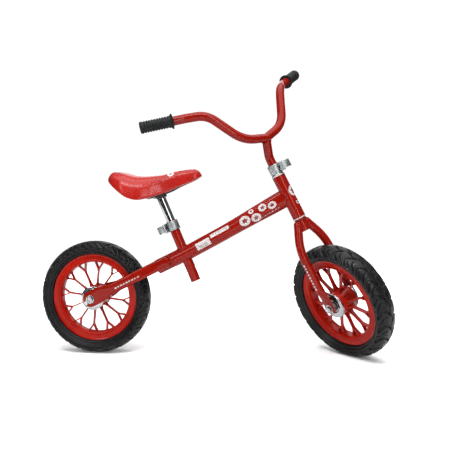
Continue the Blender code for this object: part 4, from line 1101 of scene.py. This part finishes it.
def grip_radius(angle, z):
    """Radius in mm at an angle and a distance in mm from the grip's flange."""
    size, first, last, pitch = GRIP_RADIUS / MM, 9.5, 73.5, 6.4
    if z < 0.5:
        return 18.0 + z
    if z < 2.4:
        return 18.5 - 0.35 * ((z - 0.5) / 1.9) ** 2
    if z < 6.5:
        return size + 3.75 * (1 - (z - 2.4) / 4.1) ** 1.7
    if z > 75.5:
        return size - 3.2 * (1 - sqrt(max(0.0, 1 - ((z - 75.5) / 3.5) ** 2)))
    rib = eased(0.5 + 0.5 * cos(2 * pi * (z - first) / pitch), 0.25, 0.75)
    odd_ring = int((z - first) / pitch + 0.5) % 2
    blocks = eased(abs(sin(angle * 5 + (pi / 2 if odd_ring else 0))), 0.12, 0.35)
    share = eased(z, first - 2, first) * (1 - eased(z, last, last + 1.5))
    return size - 1.5 * (1 - rib * (0.35 + 0.65 * blocks)) * share


def grip_body():
    """Grip along Z from its flange, with raised ribs broken into blocks and a domed cap."""
    around, rows, length = 120, 150, GRIP_LENGTH / MM
    angles = [2 * pi * k / around for k in range(around)]
    heights = [0.0, 0.25, 0.5] + [0.5 + (length - 0.5) * k / rows for k in range(1, rows + 1)]
    bm = bmesh.new()
    outer = rings_of(bm, [[turned_point(grip_radius(a, h) * MM, h * MM, a, "Z") for a in angles]
                          for h in heights])
    inner = rings_of(bm, [[turned_point(BAR_RADIUS + GAP, h, a, "Z") for a in angles]
                          for h in (0.0, GRIP_LENGTH - GRIP_CAP)])
    bridge(bm, *outer)
    bridge(bm, *inner)
    bridge(bm, outer[0], inner[0])
    bm.faces.new(outer[-1])
    bm.faces.new(inner[1])
    return facing_out(bm)


def bar_pieces(looks):
    paint = looks["paint"]
    piece("handlebar", bent_tube(bar_path(), Vector((1, 0, 0))), paint, STEERING)
    joint = Vector(BAR_BENDS[0][:3]) * MM
    stem_path = rounded_path([Vector((0, 0, 450 * MM)), Vector((0, 0, 562 * MM)), joint], [40 * MM], 16, 8)
    across = Matrix.Translation(joint) @ turn(-pi / 2, "X")
    cut = rod(BAR_RADIUS + GAP, -40 * MM, 40 * MM, 94, across)
    piece("stem", combined(bent_tube(stem_path, Vector((0, 1, 0)), 64), [cut]), paint, STEERING)
    ahead = (stem_path[-1] - stem_path[-2]).normalized()
    outline = section(stem_path[-7], ahead, Vector((0, 1, 0)), BAR_RADIUS * 0.985, BAR_RADIUS * 0.985, 96)
    wall = surface_of(rod(BAR_RADIUS, -40 * MM, 40 * MM, 128, across))
    bead(landed(wall, outline, ahead), 1.7 * MM, paint, "stem", "stem_weld", STEERING)
    for hand, side in HANDS:
        bend, end = (Vector((x, y * side, z)) * MM for x, y, z, _ in BAR_BENDS[-2:])
        direction = (end - bend).normalized()
        place = STEERING @ along(direction, end - direction * (GRIP_LENGTH - GRIP_CAP - GAP))
        piece("grip_" + hand, grip_body(), looks["grip"], place, sharp=60)


# ---------------------------------------------------------------- seat post and saddle

def saddle_loop(x, scale=1.0, inset=0.0, thickness=8.0 * MM):
    """Closed loop across the saddle: over the top, round the lip and back underneath."""
    top, skirt = smooth_line(SADDLE_TOP, x), smooth_line(SADDLE_SKIRT, x)
    half = smooth_line(SADDLE_HALF_WIDTH, x)
    middle = (top + skirt) / 2
    loop = []
    for depth, order in ((inset, 1), (inset + thickness, -1)):
        wide = max(half - depth, half * 0.25)
        high = max(top - skirt - depth, (top - skirt) * 0.25)
        arc_points = []
        for k in range(SADDLE_STEPS + 1):
            angle = pi * k / SADDLE_STEPS
            c = cos(angle)
            arc_points.append(Vector((SADDLE_REAR_X + x, -wide * abs(c) ** 0.8 * (1 if c > 0 else -1),
                                      skirt + high * sin(angle) ** 0.8)))
        loop += arc_points[::order]
        mouth = arc_points[-1 if order == 1 else 0]
        inner = max(half - inset - thickness, half * 0.25) if order == 1 else max(half - inset, half * 0.25)
        sign = 1 if mouth.y > 0 else -1
        reach = abs(mouth.y)
        for share in (0.3, 0.7):
            y = reach + (inner - reach) * share
            loop.append(Vector((mouth.x, y * sign, skirt - 0.8 * MM)))
    return [Vector((p.x, p.y * scale, middle + (p.z - middle) * scale)) for p in loop]


def saddle_pieces(looks):
    xs = [0.0, 0.5, 1.4, 3.0, 5.0] + [7.0 + 233.0 * k / 116 for k in range(117)]
    xs += [242.0, 244.0, 245.6, 246.6, 247.0]
    scales = {0.0: 0.35, 0.5: 0.72, 1.4: 0.93, 245.6: 0.96, 246.6: 0.8, 247.0: 0.45}
    cover = lofted([saddle_loop(x * MM, scales.get(x, 1.0)) for x in xs])
    made = piece("saddle_cover", cover, looks["saddle"], sharp=70)
    inner = [24.0 + 181.0 * k / 60 for k in range(61)]
    shell = lofted([saddle_loop(x * MM, 1.0, 9.2 * MM, 3.0 * MM) for x in inner])
    piece("saddle_shell", shell, looks["black"], sharp=60)

    bends = ((94, 23.5, 447), (112, 21.5, 421.5), (187, 21.5, 421.5), (222, 7, 446))
    left = [Vector(bend) * MM for bend in bends]
    right = [Vector((p.x, -p.y, p.z)) for p in left[::-1]]
    path = rounded_path(left + right, [16 * MM, 16 * MM, 6 * MM, 6 * MM, 16 * MM, 16 * MM], 10, 6)
    piece("saddle_rails", swept_round(path, [3.4 * MM] * len(path), 28), looks["zinc"])
    pivot = Matrix.Translation(SADDLE_PIVOT)
    for hand, side in HANDS:
        cup = [(3.3, 25.3, 0.2), (6.6, 25.3, 0.5), (6.6, 27.6, 0.8), (5.9, 31.0, 0.6), (5.3, 31.0, 0.2),
               (5.2, 30.8, 0.1), (3.3, 30.8, 0.1)]
        piece("saddle_clamp_cup_" + hand, lathe(cup, 90, "Y", side), looks["black"], BIKE @ pivot)

    outline = rounded([(154, 409.5, 2.5), (154, 420, 2.5), (163, 424, 2), (193, 424, 2), (199, 413, 3),
                       (187, 405.5, 4), (178, 405.5, 3), (171, 411, 4), (163, 408, 3)], 5)
    bore = rod(POST_RADIUS + GAP, 200 * MM, 280 * MM, 94, SEAT_IN_BIKE)
    pin = rod(3.3 * MM, -30 * MM, 30 * MM, 46, pivot @ turn(-pi / 2, "X"))
    block = extruded(outline, -14 * MM, 14 * MM, "XZ", edge=1.2 * MM)
    piece("saddle_clamp_block", combined(block, [bore, pin]), looks["black"])
    piece("seat_post", lathe([(9.6, 66, 0.3), (11.1, 66, 0.6), (11.1, 244, 0.5), (9.6, 244, 0.3)], 96),
          looks["chrome"], SEAT)
    across = BIKE @ pivot @ turn(-pi / 2, "X")
    seat = 31.3
    bolt = lathe([(0, -seat - 4.2, 0), (2.6, -seat - 4.2, 0.2), (2.9, -seat - 2.6, 0.2),
                  (3.4, -seat - 4.2, 0.3), (4.9, -seat - 4.2, 1.2), (4.9, -seat, 0.3), (3.0, -seat, 0.2),
                  (3.0, seat + 6.2, 0.6), (0, seat + 6.2, 0)], 60)
    piece("saddle_clamp_bolt", bolt, looks["chrome"], across)
    nut = lathe([(3.3, seat, 0.2), (5.0, seat, 0.3), (5.0, seat + 4.0, 0.6), (4.3, seat + 5.2, 0.4),
                 (3.3, seat + 5.2, 0.3)], 60)
    piece("saddle_clamp_nut", nut, looks["chrome"], across)


# ---------------------------------------------------------------- decals

def disc_cells(radius, count=14, petals=0):
    """Square grid of points squeezed into a disc, or into a small star with rounded arms."""
    rows = []
    for i in range(count + 1):
        row = []
        for j in range(count + 1):
            x, y = 2 * i / count - 1, 2 * j / count - 1
            u, v = x * sqrt(1 - y * y / 2), y * sqrt(1 - x * x / 2)
            size = radius
            if petals and u * u + v * v > 1e-9:
                size *= 0.55 + 0.45 * abs(cos(petals / 2 * np.arctan2(v, u))) ** 1.5
            row.append((u * size, v * size))
        rows.append(row)
    return rows


def bar_cells(half_length, half_height, lengthwise=20, upright=8):
    return [[(half_length * (2 * i / lengthwise - 1), half_height * (2 * j / upright - 1))
             for j in range(upright + 1)] for i in range(lengthwise + 1)]


def wrapped_patch(tree, centre, axis, outward, radius, cells, lift):
    """Thin closed patch laid round a tube's surface, or flat on a side where the radius is 0."""
    up = outward.cross(axis).normalized()
    rows, count = len(cells), len(cells[0])
    bm = bmesh.new()
    faces = []
    for height in (lift, -0.15 * MM):
        for row in cells:
            for a, b in row:
                spoke_way, start = outward, centre + axis * a + up * b
                if radius:
                    spoke_way = outward * cos(b / radius) + up * sin(b / radius)
                    start = centre + axis * a
                hit, normal, _, _ = tree.ray_cast(start + spoke_way * 0.12, -spoke_way)
                if hit is None:
                    hit, normal = start + spoke_way * radius, spoke_way
                bm.verts.new(hit + normal * height)
    bm.verts.ensure_lookup_table()

    def corner(level, i, j):
        return bm.verts[level * rows * count + i * count + j]
    for level in (0, 1):
        for i in range(rows - 1):
            for j in range(count - 1):
                bm.faces.new([corner(level, *c) for c in ((i, j), (i + 1, j), (i + 1, j + 1), (i, j + 1))])
    rim = ([(i, 0) for i in range(rows)] + [(rows - 1, j) for j in range(1, count)]
           + [(i, count - 1) for i in range(rows - 2, -1, -1)] + [(0, j) for j in range(count - 2, 0, -1)])
    for here, there in zip(rim, rim[1:] + rim[:1]):
        bm.faces.new((corner(0, *here), corner(0, *there), corner(1, *there), corner(1, *here)))
    return facing_out(bm)


def main_tube_decals(tree, looks):
    """Row of white discs with red stars, a dashed line, and a label and a strip with grey bars."""
    corners = [Vector((x, 0.0, z)) * MM for x, z in MAIN_TUBE_PATH]

    def spot(reach):
        for first, second in zip(corners, corners[1:]):
            run = second - first
            if reach * MM <= run.length or second is corners[-1]:
                return first + run.normalized() * (reach * MM), run.normalized()
            reach -= run.length / MM
    white, red, grey = [], [], []
    discs = ((260.6, -0.5, 14.3), (289.7, -8.4, 12.6), (285.3, 14.2, 7.0), (315.4, 8.8, 10.8),
             (339.7, 0.7, 11.3))
    for _, side in HANDS:
        outward = Vector((0, side, 0))

        def put(group, reach, height, cells, lift):
            centre, run = spot(reach)
            axis = run * (-side)
            tilt = asin(max(-0.98, min(0.98, height / 20.5)))
            rise = Vector((-run.z, 0, run.x))
            way = outward * cos(tilt) + rise * sin(tilt)
            group.append(wrapped_patch(tree, centre, axis, way, 20.0 * MM, cells, lift))
        for reach, height, size in discs:
            put(white, reach, height, disc_cells(size * MM), 0.22 * MM)
            put(red, reach, height, disc_cells(size * 0.55 * MM, 12, 5), 0.40 * MM)
        for k in range(7):
            put(white, 302 + 8 * k, -15.6, bar_cells(2.8 * MM, 0.6 * MM, 4, 2), 0.2 * MM)
        if side < 0:
            put(white, 138, 0.5, bar_cells(20 * MM, 10 * MM), 0.2 * MM)
            put(white, 190, 9.0, bar_cells(27 * MM, 5.2 * MM), 0.2 * MM)
            for k in range(9):
                put(grey, 170 + 5 * k, 9.0, bar_cells(1.1 * MM, 1.5 * MM, 2, 4), 0.32 * MM)
            for k in range(3):
                line = bar_cells((13 - 2 * k) * MM, 0.7 * MM, 8, 2)
                put(grey, 136 + 2.0 * k, -0.5 - 3.0 * k, line, 0.32 * MM)
    piece("main_tube", joined(*white), looks["decal"], name="main_tube_discs")
    piece("main_tube", joined(*red), looks["decal_red"], name="main_tube_stars")
    piece("main_tube", joined(*grey), looks["decal_grey"], name="main_tube_label_bars")


def tube_decals(blade_trees, looks):
    """Head badge, and plain white dashes on the stays and the fork blades."""
    head = surface_of(rod(HEAD_TUBE_RADIUS, 390 * MM, 512 * MM, 128))
    up = Vector((0, 0, 1))
    marks, stars = [], []
    for angle, height, size in ((-17, 462, 14.0), (-32, 431, 4.6)):
        way = Vector((cos(radians(angle)), sin(radians(angle)), 0))
        centre = Vector((0, 0, height * MM))
        marks.append(wrapped_patch(head, centre, up, way, HEAD_TUBE_RADIUS, disc_cells(size * MM, 18),
                                   0.22 * MM))
        stars.append(wrapped_patch(head, centre, up, way, HEAD_TUBE_RADIUS,
                                   disc_cells(size * 0.6 * MM, 16, 5), 0.40 * MM))
    piece("head_tube", joined(*marks), looks["decal"], HEAD, "head_tube_badge")
    piece("head_tube", joined(*stars), looks["decal_red"], HEAD, "head_tube_badge_star")
    for hand, side in HANDS:
        dashes = []
        tree = surface_of(stay_body(side))
        start = Vector((0, 38.0 * MM * side, TYRE_RADIUS)) - STAY_RISE * (3.0 * MM)
        for k in range(9):
            centre = start + STAY_RUN * ((78 + 8.2 * k) * MM)
            dashes.append(wrapped_patch(tree, centre, STAY_RUN * (-side), Vector((0, side, 0)), 0.0,
                                        bar_cells((2.9 - 0.8 * (k % 2)) * MM, 1.6 * MM, 6, 4), 0.22 * MM))
        piece("stay_" + hand, joined(*dashes), looks["decal"], name=f"stay_{hand}_dashes")
        dashes = []
        for k in range(9):
            centre = Vector((0, BLADE_SPREAD * side, (218 + 8.0 * k) * MM))
            dashes.append(wrapped_patch(blade_trees[hand], centre, up, Vector((0.12, side, 0)).normalized(),
                                        BLADE_RADIUS, bar_cells((2.8 - 0.8 * (k % 2)) * MM, 2.0 * MM, 6, 4),
                                        0.22 * MM))
        piece("fork_blade_" + hand, joined(*dashes), looks["decal"], STEERING, f"fork_blade_{hand}_dashes")


# ---------------------------------------------------------------- floor, light and camera

def softbox(name, place, target, width, height, watts):
    light = bpy.data.lights.new(name, "AREA")
    light.shape = "RECTANGLE"
    light.size, light.size_y = width, height
    light.energy = watts
    spin = (Vector(target) - Vector(place)).to_track_quat("-Z", "Y").to_matrix().to_4x4()
    linked(name, light).matrix_world = Matrix.Translation(place) @ spin


def studio_floor():
    """White disc that gives off more light towards its edge, so that it runs into the white behind."""
    mesh = bpy.data.meshes.new("studio_floor")
    bm = bmesh.new()
    bmesh.ops.create_circle(bm, cap_ends=True, segments=128, radius=1.7)
    bm.to_mesh(mesh)
    bm.free()
    finish = Finish("studio_floor_white", Roughness=0.9, Emission_Color=rgb(1, 1, 1), Specular_IOR_Level=0.1)
    x, y, _ = finish.split()
    finish.wire("Emission Strength", finish.remap(finish.length(x, y), 0.45, 1.6, 0.05, 1.0))
    cloud = finish.noise(0.8, 2.0)
    finish.wire("Base Color", finish.mix(cloud, rgb(0.88, 0.88, 0.88), rgb(0.92, 0.92, 0.92)))
    mesh.materials.append(finish.material)
    linked("studio_floor", mesh)


def studio_sky():
    """Dome that brightens upwards and lights the bike, seen by the camera as plain white."""
    world = bpy.data.worlds.new("studio_sky")
    bpy.context.scene.world = world
    world.use_nodes = True
    tree = world.node_tree
    tree.nodes.clear()
    direction = add_node(tree, "TexCoord").outputs["Generated"]
    height = add_node(tree, "SeparateXYZ", {"Vector": direction}).outputs["Z"]
    ramp = add_node(tree, "ValToRGB", {"Fac": height})
    stops = ramp.color_ramp.elements
    for n, (spot, value) in enumerate(((0.0, 0.03), (1.0, 0.9), (0.22, 0.10), (0.55, 0.36))):
        stop = stops[n] if n < 2 else stops.new(spot)
        stop.color = rgb(value, value, value)
    dome = add_node(tree, "Background", {"Color": ramp.outputs["Color"], "Strength": 0.75})
    white = add_node(tree, "Background", {"Color": rgb(1, 1, 1), "Strength": 1.05})
    seen = add_node(tree, "LightPath").outputs["Is Camera Ray"]
    mixed = add_node(tree, "MixShader", {"Fac": seen, 1: dome.outputs[0], 2: white.outputs[0]})
    add_node(tree, "OutputWorld", {"Surface": mixed.outputs[0]})


def studio():
    studio_floor()
    studio_sky()
    softbox("overhead_softbox", (0.2, -0.2, 2.5), (0.05, 0.0, 0.2), 3.0, 2.6, 74)
    softbox("front_left_softbox", (-1.5, -2.3, 1.4), (0.0, 0.0, 0.3), 0.5, 1.5, 22)
    softbox("front_strip", (0.0, -1.35, 2.3), (0.0, 0.0, 0.3), 2.4, 0.42, 44)
    softbox("right_softbox", (1.2, -2.0, 1.0), (0.1, 0.0, 0.3), 0.5, 1.7, 26)
    softbox("back_softbox", (0.0, 2.2, 1.6), (0.0, 0.0, 0.3), 2.0, 1.2, 14)


def camera():
    """Camera fitted to the photograph: its axes, its place and a 36 mm wide sensor."""
    right = Vector((0.98637, 0.1633, -0.02028))
    up = Vector((0.00898, 0.06961, 0.99753))
    back = Vector((0.16431, -0.98412, 0.06719))
    data = bpy.data.cameras.new("photo_camera")
    data.lens = 48.36
    data.sensor_width = 36
    made = linked("photo_camera", data)
    place = Matrix((right, up, back)).transposed().to_4x4()
    place.translation = Vector((0.2978, -1.558, 0.4408))
    made.matrix_world = place
    bpy.context.scene.camera = made


def build():
    looks = {"paint": red_paint(), "grip": grip_rubber(), "chrome": chrome(), "zinc": zinc(),
             "aluminium": aluminium(), "white": white_plastic(), "black": black_plastic(),
             "saddle": saddle_skin()}
    looks["decal"] = print_film("decal_white", (0.33, 0.30, 0.30), (0.40, 0.37, 0.36))
    looks["decal_red"] = print_film("decal_red", (0.10, 0.004, 0.003), (0.15, 0.007, 0.005))
    looks["decal_grey"] = print_film("decal_grey", (0.14, 0.14, 0.14), (0.20, 0.20, 0.20))
    camera()
    studio()
    wheel("rear", REAR_HUB, REAR_SPOKE_PHASE, looks)
    wheel("front", FRONT_HUB, FRONT_SPOKE_PHASE, looks)
    axle_set("rear", REAR_HUB, looks)
    axle_set("front", FRONT_HUB, looks)
    main_tube_decals(frame_pieces(looks), looks)
    tube_decals(fork_pieces(looks), looks)
    clamp("seat_clamp", SEAT_CLAMP, SEAT_CLAMP_LOW, looks)
    clamp("bar_clamp", BAR_CLAMP, -BAR_CLAMP_LOW - CLAMP_HEIGHT, looks)
    bar_pieces(looks)
    saddle_pieces(looks)
    bpy.context.scene.view_settings.view_transform = "Standard"


build()
